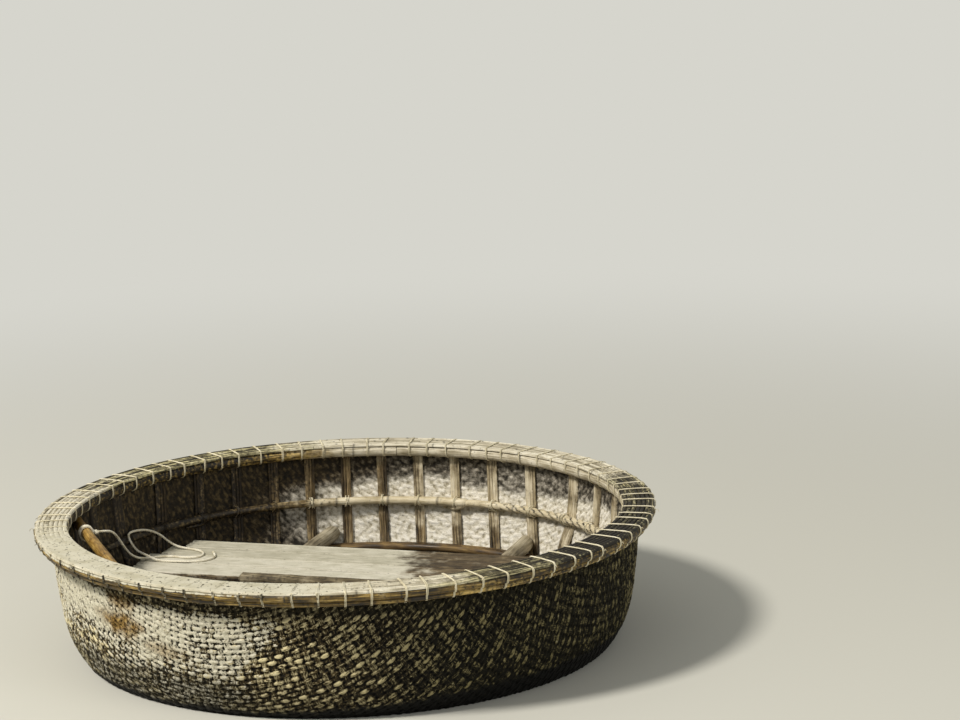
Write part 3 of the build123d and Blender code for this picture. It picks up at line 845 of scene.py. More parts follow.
def cane_finish(name, fresh_and_shaded, bone_and_sunlit, dirt, roughness=0.62, streak=0.0028, relief=0.0009):
    """The fresh and the bone colours are three each, from the dark streaks to the light ones. Besides fresh
    and bleached cane they serve as painted shade and painted sunlight.
    """
    finish, tree, shader = new_finish(name, IOR=1.5)
    here = add(tree, "TexCoord").outputs["Object"]
    grain = add(tree, "UVMap", uv_map="UVMap").outputs["UV"]
    streaks = stretched_noise(tree, grain, (0.045 / streak, 1 / streak, 1.0), Detail=5.0, Roughness=0.6)
    noise = {"Vector": here, "Scale": 16.0, "Detail": 5.0, "Roughness": 0.6}
    patches = add(tree, "TexNoise", noise).outputs["Fac"]
    specks = add(tree, "TexNoise", {"Vector": here, "Scale": 90.0, "Detail": 4.0}).outputs["Fac"]
    tone, bleach, grime, node, coat = [
        add(tree, "Attribute", attribute_name=n).outputs["Fac"]
        for n in ("tone", "bleach", "grime", "node", "coat")
    ]
    level = streaks
    for part, weight in ((tone, 0.11), (patches, 0.4)):
        level = add(tree, "Math", {0: part, 1: weight, 2: level}, operation="MULTIPLY_ADD").outputs[0]
    fresh_and_shaded_cane, bleached_and_sunlit_cane = [
        add(tree, "ValToRGB", {"Fac": level}, stops=list(zip(STOPS, colours))).outputs["Color"]
        for colours in (fresh_and_shaded, bone_and_sunlit)
    ]
    # Sunlight and bleach, soil and painted shade, and coat each start where a noise and the piece's own
    # number add up to enough.
    shares = []
    for noise, weight, number, start, full in (
        (patches, 1.1, bleach, 0.82, 1.22), (specks, 1.6, grime, 1.02, 1.65), (specks, 1.0, coat, 1.12, 1.34),
    ):
        both = add(tree, "Math", {0: noise, 1: weight, 2: number}, operation="MULTIPLY_ADD").outputs[0]
        limits = {"Value": both, "From Min": start, "From Max": full}
        shares.append(add(tree, "MapRange", limits, interpolation_type="SMOOTHSTEP").outputs[0])
    sun, soil_and_shade, cover = shares
    soil_and_shade = add(tree, "Math", {0: node, 1: 0.7, 2: soil_and_shade}, operation="MULTIPLY_ADD", use_clamp=True).outputs[0]
    wash = add(tree, "ValToRGB", {"Fac": patches}, stops=LIME_WASH).outputs["Color"]
    pits = add(tree, "MapRange", {"Value": specks, "From Min": 0.385, "From Max": 0.355}).outputs[0]
    pits = add(tree, "Math", {0: pits, 1: coat}, operation="MULTIPLY").outputs[0]
    colour = fresh_and_shaded_cane
    for share, over in ((sun, bleached_and_sunlit_cane), (soil_and_shade, dirt), (cover, wash), (pits, PIT)):
        colour = add(tree, "Mix", {0: share, 6: colour, 7: over}, data_type="RGBA").outputs[2]
    limits = {"From Min": 0.3, "From Max": 0.7, "To Min": roughness - 0.1, "To Max": roughness + 0.14}
    dull = add(tree, "MapRange", {"Value": streaks, **limits}).outputs[0]
    smooth = add(tree, "MapRange", {"Value": coat, "To Min": 0.7, "To Max": 0.12}).outputs[0]
    bump = add(tree, "Bump", {"Height": streaks, "Strength": smooth, "Distance": relief}).outputs["Normal"]
    connect(tree, shader, Base_Color=colour, Roughness=dull, Normal=bump)
    return finish


# Each finish's first three colours serve fresh cane and painted shade, the next three bleached cane and
# painted sunlight.
rim_cane = cane_finish(
    "split_bamboo_bleached_and_sunlit", ("#0b0a05", "#423a20", "#d6cc9c"), ("#857c65", "#c3baa2", "#e4decb"), "#1c160b",
    streak=0.0045,
)
hoop_cane = cane_finish(
    "split_bamboo_brown", ("#1f1808", "#715a26", "#d2b46a"), ("#6f654b", "#b0a58a", "#ddd5c0"), "#171007",
    roughness=0.5, streak=0.0040,
)
slat_cane = cane_finish(
    "dry_bamboo_slat", ("#221a0c", "#574629", "#9a8660"), ("#85775a", "#b9ab8c", "#ddd3ba"), "#20180d",
)
pole_cane = cane_finish(
    "dry_bamboo_pole", ("#2f2413", "#6e5b38", "#ae9a6c"), ("#9a8b69", "#cdbf9d", "#e6dcc2"), "#1e160b",
    roughness=0.5,
)
yellow_cane = cane_finish(
    "dry_yellow_bamboo", ("#4e3612", "#8f6d30", "#c4a35c"), ("#8a7440", "#b09a62", "#d6c796"), "#2a1c0a",
    roughness=0.42,
)
print("cane finishes made")

# %% [markdown]
# ## Lengths of cane round the rim
# No cane is six metres long, so each ring of the rim is made of lengths laid end to end. Every length has
# a node about each thirty centimetres, where it swells a little, and it wanders by a millimetre. One
# function carries a section round the bowl in such lengths, and the strips and all the hoops come from it.


# %% Rings made of lengths
NEAR_NODE = np.array([-0.006, -0.0025, 0, 0.0025, 0.006])
NODE_LINE, NODE_BULGE, NODE_CLEAR = 0.0032, 0.007, 0.01
LENGTH_GAP, LENGTH_STEP, WANDER, SWELL = 0.002, 0.028, 0.0009, 0.05


def with_rings(run, spacing, seed):
    """Adds places close to each node of the cane, and says how near each place is to a node."""
    picks = np.random.default_rng(seed)
    count = max(1, int((run[-1] - run[0]) / spacing / 0.75) + 2)
    nodes = np.cumsum(spacing * picks.uniform(0.75, 1.2, count)) + run[0] - spacing * picks.uniform(0, 0.8)
    nodes = nodes[(nodes > run[0] + NODE_CLEAR) & (nodes < run[-1] - NODE_CLEAR)]
    places = np.unique(np.concatenate([run, (nodes[:, None] + NEAR_NODE).ravel()]))
    nearest = np.min(np.abs(places[:, None] - np.append(nodes, 1e9)), axis=1)
    return places, np.exp(-((nearest / NODE_LINE) ** 2)), np.exp(-((nearest / NODE_BULGE) ** 2))


def cane_ring(profile, radius, height, count, seed, spacing=0.30, narrow=None, filled=None):
    """A closed tube for each of count lengths. profile holds (outwards, up) points in order. narrow and
    filled give, for a turn, the share of the width and how far a thick coat has filled the profile up."""
    picks = np.random.default_rng(seed)
    cuts = np.sort((np.arange(count) + picks.uniform(-0.2, 0.2, count)) / count) * 2 * math.pi
    around = run_along(np.vstack([profile, profile[:1]]))
    sheets = []
    for index, start in enumerate(cuts):
        end = cuts[(index + 1) % count] + (2 * math.pi if index == count - 1 else 0)
        steps = max(4, round((end - start) * radius / LENGTH_STEP))
        run = np.linspace(start * radius + LENGTH_GAP / 2, end * radius - LENGTH_GAP / 2, steps)
        run, ring, bulge = with_rings(run, spacing, seed * 31 + index)
        turn = run / radius
        spot = stack(np.cos(turn), np.sin(turn), seed)
        scale = (1 + SWELL * bulge) * (1 + 0.03 * drift(spot, 0.2, seed))
        across = scale if narrow is None else scale * narrow(turn)
        out = radius + WANDER * drift(spot, 0.25, seed + 1)
        lift = height + 0.6 * WANDER * drift(spot, 0.18, seed + 2)
        r, rise = out[:, None] + profile[:, 0] * across[:, None], profile[:, 1] * scale[:, None]
        if filled is not None:
            crown = 0.97 * profile[:, 1].max()
            rise = rise + np.maximum(crown - rise, 0) * filled(turn)[:, None] * (profile[:, 1] > 0.4 * crown)
        sheets.append({
            "points": stack(r * np.cos(turn)[:, None], r * np.sin(turn)[:, None], lift[:, None] + rise),
            "tube": True, "u": run + 7.3 * index + 1.7 * seed, "v": around + 0.31 * index + 0.17 * seed,
            "node": ring[:, None], "tone": picks.uniform(-1, 1) + 0.5 * drift(spot, 0.12, seed + 3)[:, None],
        })
    return sheets


print("a ring of the rim takes", round(2 * math.pi * 0.99, 2), "m of cane")

# %% [markdown]
# ## Strips, hoops and the sun
# Seven flat strips cover the rim, two half-round hoops clamp the skin from outside and one from inside.
# The sun has bleached the rim from the left end to the middle of the front, and lights it there, so its pale
# colour is also painted sunlight, and there a thick coat fills it up. To the right it is still dark, which is
# painted shade as well, and the strips have shrunk, so that their gaps show as dark lines. The far left and
# the inner hoop are painted dark as shade too. Tables of (degrees, value) pairs say how sunlight and bleach,
# dirt and painted shade, coat and gaps change round the boat.

# %% Rim strips and hoops
CAP_LOW, CAP_HIGH = 0.5720, 0.580
INNER_EDGE, OUTER_EDGE, CAP_COUNT = 0.8969, 1.0, 7
CAP_PITCH = (OUTER_EDGE - INNER_EDGE) / CAP_COUNT
CAP_SHAPE = np.array([
    (-0.5, 0.0), (-0.5, 0.55), (-0.34, 0.92), (0.0, 1.0), (0.34, 0.92), (0.5, 0.55), (0.5, 0.0),
])
CAP_SLOPES = {0: 0.10, CAP_COUNT - 1: -0.22}
# RIM_SUN is bleach and painted sunlight: high where the light falls, low on the shaded right and far left.
RIM_SUN = [
    (-180, 0.95), (-150, 1.0), (-96, 0.95), (-78, 0.6), (-60, 0.15), (-12, 0.04), (10, 0.3), (26, 0.85),
    (82, 0.9), (102, 0.45), (120, 0.12), (140, 0.25), (152, 0.4), (166, 0.75), (180, 0.95),
]
# RIM_DIRT_AND_SHADE is dirt and painted shade, strongest on the shaded right.
RIM_DIRT_AND_SHADE = [
    (-180, 0.2), (-150, 0.05), (-95, 0.1), (-62, 0.3), (-52, 0.6), (-38, 0.9), (0, 0.6), (30, 0.15),
    (90, 0.15), (120, 0.4), (160, 0.3), (180, 0.2),
]
RIM_GAPS = [(-180, 0.7), (-150, 0.0), (-85, 0.1), (-60, 0.8), (0, 1.0), (60, 0.6), (140, 0.9), (180, 0.7)]
RIM_COAT = [
    (-180, 0.66), (-170, 0.8), (-160, 1.0), (-112, 1.0), (-98, 0.82), (-84, 0.62), (-72, 0.2), (-60, 0.0),
    (156, 0.0), (168, 0.55), (180, 0.66),
]
FACE_SUN = [
    (-180, 0.35), (-150, 0.2), (-115, 0.15), (-96, 0.25), (-84, 0.2), (-66, 0.1), (-50, 0.08), (0, 0.05),
    (90, 0.3), (180, 0.4),
]
# FACE_DIRT_AND_SHADE is dirt and painted shade on the rim's outer face, darkest on the shaded right.
FACE_DIRT_AND_SHADE = [(-180, 0.3), (-100, 0.3), (-72, 0.35), (-60, 0.55), (0, 0.65), (120, 0.35), (180, 0.3)]
FACE_COAT = [
    (-180, 0.3), (-168, 0.8), (-150, 1.0), (-118, 0.95), (-104, 0.5), (-92, 0.25), (-80, 0.0), (170, 0.0),
    (180, 0.3),
]
# HOOP_SUN and HOOP_DIRT_AND_SHADE paint the inner hoop pale where the light falls and dark on the far left:
# painted light and shade with bleach and dirt.
HOOP_SUN = [
    (-180, 0.1), (-90, 0.3), (-20, 0.5), (0, 0.85), (85, 0.9), (104, 0.3), (118, 0.0), (170, 0.0), (180, 0.1),
]
HOOP_DIRT_AND_SHADE = [(-180, 0.72), (-60, 0.3), (0, 0.12), (90, 0.15), (116, 0.72), (180, 0.78)]
# In HOOPS, sun is sunlight and bleach, and dirt is dirt and painted shade.
HOOPS = [  # name, depth, half height, side of its nose, radius, height, seed, sun, dirt, extra sun
    ("outer_hoop_upper", 0.053, 0.012, 1, 0.947, 0.5597, 51, FACE_SUN, FACE_DIRT_AND_SHADE, 0.0),
    ("outer_hoop_lower", 0.039, 0.0085, 1, 0.947, 0.5389, 52, FACE_SUN, FACE_DIRT_AND_SHADE, -0.1),
    ("inner_hoop", 0.032, 0.019, -1, 0.9289, 0.5527, 53, HOOP_SUN, HOOP_DIRT_AND_SHADE, 0.0),
]


def by_azimuth(points, table):
    """The table's value in the direction of each point."""
    return np.interp(azimuth_of(points), *zip(*table))


def at_turn(turn, table):
    """The table's value at turns in radians."""
    return by_azimuth(stack(np.cos(turn), np.sin(turn)), table)


def weathered(sheets, sun, grime=0.0, extra=0.0):
    """Adds sunlight with bleach, and dirt with painted shade, to sheets, by azimuth tables or plain numbers.
    """
    for sheet in sheets:
        points = sheet["points"]
        sheet["bleach"] = (by_azimuth(points, sun) if isinstance(sun, list) else sun) + extra
        sheet["grime"] = by_azimuth(points, grime) if isinstance(grime, list) else grime
    return sheets


def half_round(depth, half, out):
    """Half-round section in outwards and up. out is 1 for a nose outwards, -1 for a nose inwards."""
    nose, turn = 0.8 * half, np.radians(np.linspace(90, -90, 9))
    face = stack(depth - nose + nose * np.cos(turn), half * np.sin(turn))
    return out * np.vstack([(0, half), face, (0, -half)])


cap = []
for index in range(CAP_COUNT):
    profile = CAP_SHAPE * (CAP_PITCH * 1.01, CAP_HIGH - CAP_LOW)
    profile[:, 1] += CAP_SLOPES.get(index, 0.0) * profile[:, 0]
    cap += cane_ring(
        profile, INNER_EDGE + (index + 0.5) * CAP_PITCH, CAP_LOW, 4, 40 + index, spacing=0.34,
        narrow=lambda turn: 1 - 0.15 * at_turn(turn, RIM_GAPS),
        filled=lambda turn: fade(at_turn(turn, RIM_COAT), 0.5, 1.0),
    )
for sheet in weathered(cap, RIM_SUN, RIM_DIRT_AND_SHADE):
    crowned = 0.55 + 0.45 * fade(sheet["points"][..., 2], 0.574, 0.577)
    sheet["coat"] = by_azimuth(sheet["points"], RIM_COAT) * crowned
piece("rim_cover_strips", cap, rim_cane, ["rim_cap_strips"])
for name, depth, half, nose, radius, height, seed, sun, dirt, extra in HOOPS:
    sheets = weathered(cane_ring(half_round(depth, half, nose), radius, height, 5, seed), sun, dirt, extra)
    if name == "outer_hoop_upper":
        for sheet in sheets:
            points = sheet["points"]
            sheet["coat"] = by_azimuth(points, FACE_COAT) * fade(points[..., 2], 0.556, 0.565)
    piece(name + "_cane", sheets, hoop_cane, [name])

# %% [markdown]
# ## Lashings of the rim
# The rim is tied through the weave about every eight centimetres, each time with two turns of thin cord side
# by side. Over the top the cord is bleached, on the outer face at the left it is dark with damp and dirt, and
# here and there a short end curls out. Each turn is a closed loop round the section of the rim.

# %% Rim lashings
lashing_cord = cane_finish(
    "lashing_cord_bleached", ("#2a2011", "#75613a", "#b9a878"), ("#b4a988", "#ddd4b6", "#f1ead4"), "#1b150b",
    roughness=0.75, streak=0.0014, relief=0.0004,
)
RIM_LOOP = np.array([  # (radius, height) round the section of the rim
    (0.8962, 0.5808), (0.915, 0.5818), (0.947, 0.5820), (0.980, 0.5816), (0.9975, 0.5797), (1.0022, 0.5735),
    (1.0020, 0.560), (0.9975, 0.5500), (0.9882, 0.5455), (0.9872, 0.5370), (0.9800, 0.5293), (0.960, 0.5282),
    (0.944, 0.5290), (0.927, 0.5318), (0.912, 0.5322), (0.899, 0.5400), (0.895, 0.5527), (0.895, 0.5690),
])
RIM_MIDDLE = 0.95
LASHING_COUNT, LASHING_THICK, TURN_APART = 76, 0.0015, 0.0017
LASHING_SUN = [(-180, 1.0), (-60, 1.0), (5, 0.95), (24, 0.72), (95, 0.68), (112, 0.85), (180, 1.0)]
LASHING_DIRT = [(-180, 0.75), (-125, 0.85), (-96, 0.55), (-84, 0.05), (0, 0.05), (60, 0.3), (180, 0.75)]


def cord_loop(outline, azimuth, thick, slide, seed, sides=6):
    """A closed turn of cord in the upright plane at an azimuth, shifted along the rim by slide."""
    ahead = np.roll(outline, -1, axis=0) - np.roll(outline, 1, axis=0)
    ahead /= np.linalg.norm(ahead, axis=1)[:, None]
    turn = np.linspace(0, 2 * math.pi, sides, endpoint=False)
    radius = outline[:, :1] - thick * ahead[:, 1:] * np.cos(turn)
    height = outline[:, 1:] + thick * ahead[:, :1] * np.cos(turn)
    wobble = 0.0012 * drift(stack(outline[:, 0] * 9, outline[:, 1] * 9, seed), 0.4, 61)
    angle = azimuth + ((slide + wobble)[:, None] + thick * np.sin(turn)) / RIM_MIDDLE
    return {
        "points": stack(radius * np.cos(angle), radius * np.sin(angle), height), "ring": True, "tube": True,
        "u": run_along(np.vstack([outline, outline[:1]])) + 0.71 * seed,
        "v": np.linspace(0, 2 * math.pi * thick, sides + 1),
    }


picks = np.random.default_rng(62)
turns, tails = [], []
for index in range(LASHING_COUNT):
    azimuth = 2 * math.pi * (index + picks.uniform(-0.16, 0.16)) / LASHING_COUNT
    lean = picks.uniform(-0.004, 0.004) * (RIM_LOOP[:, 0] - RIM_MIDDLE) / 0.05
    for side in (-1, 1):
        turns.append(cord_loop(RIM_LOOP, azimuth, LASHING_THICK, side * TURN_APART + lean, 2 * index + side))
    if picks.uniform() < 0.45:
        way = np.array([math.cos(azimuth), math.sin(azimuth), 0.0])
        beside = np.array([-way[1], way[0], 0.0])
        bend = np.linspace(0, picks.uniform(1.6, 3.6), 9)[:, None]
        reach = picks.uniform(0.003, 0.006)
        foot = way * 1.0025 + upright * picks.uniform(0.560, 0.574)
        curl = (upright * 1.2 + beside * picks.uniform(-1, 1)) * np.sin(bend)
        tail = foot + reach * (way * (1 - np.cos(bend)) * 0.7 + curl + way * bend * 0.2)
        tails.append(swept(tail, np.linspace(0.0013, 0.0007, 9), 5))
for sheet in turns + tails:
    points = sheet["points"]
    outside = np.hypot(points[..., 0], points[..., 1]) > RIM_MIDDLE
    soiled = fade(points[..., 2], 0.579, 0.573) * outside * by_azimuth(points, LASHING_DIRT)
    coated = by_azimuth(points, RIM_COAT) * fade(points[..., 2], 0.573, 0.579)
    sheet["bleach"] = by_azimuth(points, LASHING_SUN) - 0.5 * soiled
    sheet["grime"], sheet["coat"] = 0.05 + 0.75 * soiled, 1.05 * coated
    points[..., 2] -= 0.0024 * fade(coated, 0.6, 1.0)
piece("rim_lashings", turns, lashing_cord)
piece("rim_lashing_ends", tails, lashing_cord)

# %% [markdown]
# ## Bent slats
# Each slat is three splits of cane laid side by side, bent into the bowl and tucked under the inner hoop.
# A slat keeps to its own upright plane, so its path is where that plane cuts the bowl. On the bottom one
# family lies over the other, and on the wall both lie on the skin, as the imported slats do.

# %% Slats
RIB_PITCH, SLAT_STEPS = 0.128, 38
FAMILIES = (("fore_aft", 5, False), ("athwart", 4, True))  # name, slats on each side of the middle, on top
SPLITS = [(-0.0094, 0.0150, 0.6), (0.0032, 0.0094, -0.1), (0.0128, 0.0084, -0.8)]  # offset, width, tone
SLAT_SHAPE = np.array([(-0.5, 0.0), (-0.5, 0.75), (-0.3, 1.0), (0.3, 1.0), (0.5, 0.75), (0.5, 0.0)])
SLAT_BASE, SLAT_THICK, SLAT_RAISED = 0.0096, 0.0077, 0.0083
DOWN_FROM, DOWN_AT = 80.0, 82.3  # degrees of slope between which a raised slat comes down to the skin


def slat_split(middle, width, athwart, tone, seed):
    """One split as a closed tube of six points round, in the upright plane at middle."""
    share = np.linspace(0, 1, SLAT_STEPS)[1:] ** 1.25
    raised = SLAT_RAISED if athwart else 0.0
    columns = []
    for across, up in SLAT_SHAPE:
        side, depth = middle + across * width, SLAT_BASE + SLAT_THICK * up
        first = np.interp(abs(side), section(LENGTHS, depth + raised)[0], LENGTHS)
        length = np.concatenate([[first], first + (SHEET - 0.002 - first) * share])
        slope = np.degrees(np.interp(length, LENGTHS, SLOPES))
        radius, height = section(length, depth + raised * fade(slope, DOWN_AT, DOWN_FROM))
        reach = np.sqrt(np.maximum(radius**2 - side**2, 0))
        reach[0] = 0.0
        far = stack(side, reach, height)
        near = far[:0:-1] * (1, -1, 1)
        columns.append(np.concatenate([near, far]))
    points = np.stack(columns, axis=1)
    points[..., 0] += 0.0009 * drift(points + seed, 0.2, 71)
    if athwart:
        points = points[..., [1, 0, 2]][:, ::-1]
    run = run_along(points[:, 2])
    rings = np.random.default_rng(seed).uniform(0.1, 0.35) + 0.27 * np.arange(9)
    node = np.exp(-((np.min(np.abs(run[:, None] - rings), axis=1) / 0.012) ** 2))
    right, height = points[..., 0], points[..., 2]
    # The grime here is painted shade on the far-left side, where shade falls, and at the slat's foot on the
    # skin; it also rises low down.
    grime = 0.12 + 0.3 * fade(height, 0.30, 0.10) + 0.55 * fade(right, 0.05, -0.4)
    # The bleach here is painted sunlight with bleach: pale on the sunny right side, higher up.
    return {
        "points": points, "tube": True, "u": run + 3.1 * seed, "v": np.arange(7) * 0.006 + 0.11 * seed,
        "node": 0.7 * node[:, None], "tone": tone + 0.4 * drift(points + seed, 0.15, 72),
        "bleach": 0.05 + 0.58 * fade(right, -0.15, 0.40) * fade(height, 0.18, 0.34),
        "grime": grime + 0.3 * (1 - SLAT_SHAPE[:, 1]),
    }


for family, each_side, athwart in FAMILIES:
    for index in range(-each_side, each_side + 1):
        number = index + each_side + 1
        seed = 100 * athwart + number
        flip = 1 if seed % 2 else -1
        splits = [
            slat_split(index * RIB_PITCH + flip * offset, width, athwart, tone, seed + 40 * k)
            for k, (offset, width, tone) in enumerate(SPLITS)
        ]
        piece(f"slat_{family}_{number:02d}", splits, slat_cane, [f"rib_{family}_{number:02d}"])

# %% [markdown]
# ## The wall pole and its ties
# The round pole at mid-height is six thin bamboo poles that overlap: each tapers to a point that lies
# under the butt of the next. Every crossing with a slat is tied with three turns of cord through the skin.

# %% Wall pole
POLE_FACE, POLE_HEIGHT, POLE_COUNT, POLE_SIDES = 0.9163, 0.374, 6, 14
POLE_START, POLE_STEP, POLE_SPAN = 62, 60, 66  # degrees
POLE_BUTT, POLE_THINS = 0.0152, 0.0034
TWISTED, TWIST_LENGTH, TWIST_DEPTH = [(-180, 0), (14, 0), (22, 1), (52, 1), (60, 0), (180, 0)], 0.11, 0.15
# POLE_SUN and POLE_DIRT_AND_SHADE paint the pole pale on the sunny right and dark on the far left: painted
# light and shade with bleach and dirt.
POLE_SUN = [(-180, 0.0), (-60, 0.4), (-5, 0.85), (80, 0.9), (100, 0.4), (116, 0.0), (180, 0.0)]
POLE_DIRT_AND_SHADE = [(-180, 0.7), (-60, 0.3), (0, 0.12), (90, 0.15), (118, 0.78), (180, 0.75)]
TIED_RADIUS, TIE_THICK = 0.905, 0.0014
TIE_TURNS = ((-0.004, 0.008), (0.004, -0.008), (0.0, 0.0012))  # place along the pole and slant
corner = np.linspace(0, 2 * math.pi, 17)[:-1]
TIE = stack(np.clip(0.9058 + 0.0215 * np.cos(corner), 0.8848, 0.9225), POLE_HEIGHT - 0.019 * np.sin(corner))

poles, ties, crossings = [], [], []
for index in range(POLE_COUNT):
    start = math.radians(POLE_START + POLE_STEP * index)
    end = math.radians(POLE_START + POLE_STEP * index + POLE_SPAN)
    run, ring, bulge = with_rings(np.linspace(0, (end - start) * 0.9, 90), 0.24, 80 + index)
    share = run / run[-1]
    ends = (1 - 0.72 * fade(share, 0.93, 1.0)) * (0.55 + 0.45 * fade(share, 0, 0.012))
    thick = (POLE_BUTT - POLE_THINS * share) * (1 + 0.07 * bulge) * ends
    turn = start + (end - start) * share
    radius = POLE_FACE - thick - 0.001 * drift(stack(turn, turn, turn), 0.2, 81)
    height = POLE_HEIGHT - 0.024 * fade(share, 0.90, 0.97) + 0.0012 * drift(stack(turn, turn, 0), 0.3, 82)
    line = stack(radius * np.cos(turn), radius * np.sin(turn), height)
    sheet = swept(line, thick, POLE_SIDES, u_start=2.3 * index)
    hub = sheet["points"].mean(axis=1, keepdims=True)
    around = np.linspace(0, 2 * math.pi, POLE_SIDES, endpoint=False)
    angle = around - 2 * math.pi * (run * radius / TWIST_LENGTH)[:, None]
    groove = by_azimuth(hub, TWISTED) * np.cos(3 * angle)
    sheet["points"] = hub + (sheet["points"] - hub) * (1 + TWIST_DEPTH * groove)[..., None]
    sheet["tone"] = 0.4 * drift(stack(turn, turn, 0), 0.2, 83)[:, None] + rng.uniform(-0.5, 0.5)
    sheet["node"] = ring[:, None]
    weathered([sheet], POLE_SUN, POLE_DIRT_AND_SHADE)
    # Painted shade in the grooves of the twist.
    sheet["grime"] = sheet["grime"] + 0.6 * np.maximum(-groove, 0)
    poles.append(sheet)
piece("wall_pole", poles, pole_cane, ["stringer_hoop"])
for _, each_side, athwart in FAMILIES:
    for index in range(-each_side, each_side + 1):
        side = index * RIB_PITCH
        reach = math.sqrt(TIED_RADIUS**2 - side**2)
        for x, y in ((side, reach), (side, -reach)):
            crossings.append(math.atan2(x, y) if athwart else math.atan2(y, x))
slant = (TIE[:, 1] - POLE_HEIGHT) / 0.018
for number, azimuth in enumerate(crossings):
    for side, lean in TIE_TURNS:
        place = azimuth + rng.uniform(-0.004, 0.004)
        ties.append(cord_loop(TIE, place, TIE_THICK, side + lean * slant, number, 5))
piece("wall_pole_ties", weathered(ties, POLE_SUN, POLE_DIRT_AND_SHADE, 0.15), lashing_cord)

# %% [markdown]
# ## The yellow tow pole
# A short thick bamboo runs from slat to slat under the rim at the left end. Its ends are cut to the curve of
# the wall: each point of an end ring is slid along the pole until it meets the wall's lining.

# %% Tow pole
BEAM_RADIUS, BEAM_SIDES, BEAM_SHORT, LINING = 0.018, 22, 0.03, 0.0178
length = float(np.linalg.norm(BEAM_NEAR - BEAM_FAR))
run, ring, bulge = with_rings(np.linspace(BEAM_SHORT, length - BEAM_SHORT, 34), 0.21, 90)
sheet = swept(BEAM_FAR + beam_way * run[:, None], BEAM_RADIUS * (1 + 0.05 * bulge), BEAM_SIDES)
lining = wall_radius(0.5071, LINING)
for end, way in ((0, -beam_way), (-1, beam_way)):
    grid = sheet["points"][end]
    flat = (grid * way).sum(axis=1) - way[2] * grid[:, 2]
    square = (grid[:, :2] ** 2).sum(axis=1)
    sheet["points"][end] = grid + way * (-flat + np.sqrt(flat**2 + lining**2 - square))[:, None]
sheet["tone"] = 0.4 * drift(sheet["points"], 0.09, 91)
sheet["node"] = ring[:, None]
piece("tow_pole", weathered([sheet], 0.1, 0.12), yellow_cane, ["tow_beam"])

# %% [markdown]
# ## Weathered boards
# The floor is seven loose boards. Rain and salt have cupped them, worn the soft wood out between the
# grain and opened cracks along it, and their ends and the rough sawn edge are ragged. A board is a section
# with many points on its top, carried along its length: each crack adds three points, and the middle one
# sinks.

# %% Boards
board_wood = cane_finish(
    "weathered_softwood_board", ("#2a2217", "#584a35", "#8a7a5c"), ("#a5a08b", "#c1bca9", "#d4cfbf"),
    "#1d160d", roughness=0.85, streak=0.0040, relief=0.0012,
)
DECK_TURN = math.radians(-20)
DECK_ALONG = np.array([math.cos(DECK_TURN), math.sin(DECK_TURN), 0.0])
DECK_ACROSS = np.array([-math.sin(DECK_TURN), math.cos(DECK_TURN), 0.0])
DECK_TOP, BOARD_THICK = 0.310, 0.022
LINED_REACH = wall_radius(DECK_TOP - BOARD_THICK, 0.0259)
CRACK_SPACING, CRACK_HALF, CRACK_DEEP, CUP = 0.035, 0.0026, 0.0055, 0.0012
BOARD_EDGE = [(0.004, -BOARD_THICK), (0.0, -BOARD_THICK + 0.004), (0.0, -0.0035)]  # in from the edge, up
RAGGED_BOARD = "deck_board_4"
BOARDS = [  # name, far edge, near edge, gap at the left end, gap at the right end
    ("deck_board_1", 0.475, 0.387, 0.020, 0.062), ("deck_board_2", 0.383, 0.289, 0.022, 0.040),
    ("deck_board_3", 0.285, 0.190, 0.025, 0.084), ("deck_board_4", 0.186, 0.068, 0.060, 0.080),
    ("deck_board_5", -0.012, -0.195, 0.062, 0.042), ("deck_board_6", -0.199, -0.360, 0.040, 0.055),
    ("deck_board_7", -0.364, -0.545, 0.058, 0.038),
]


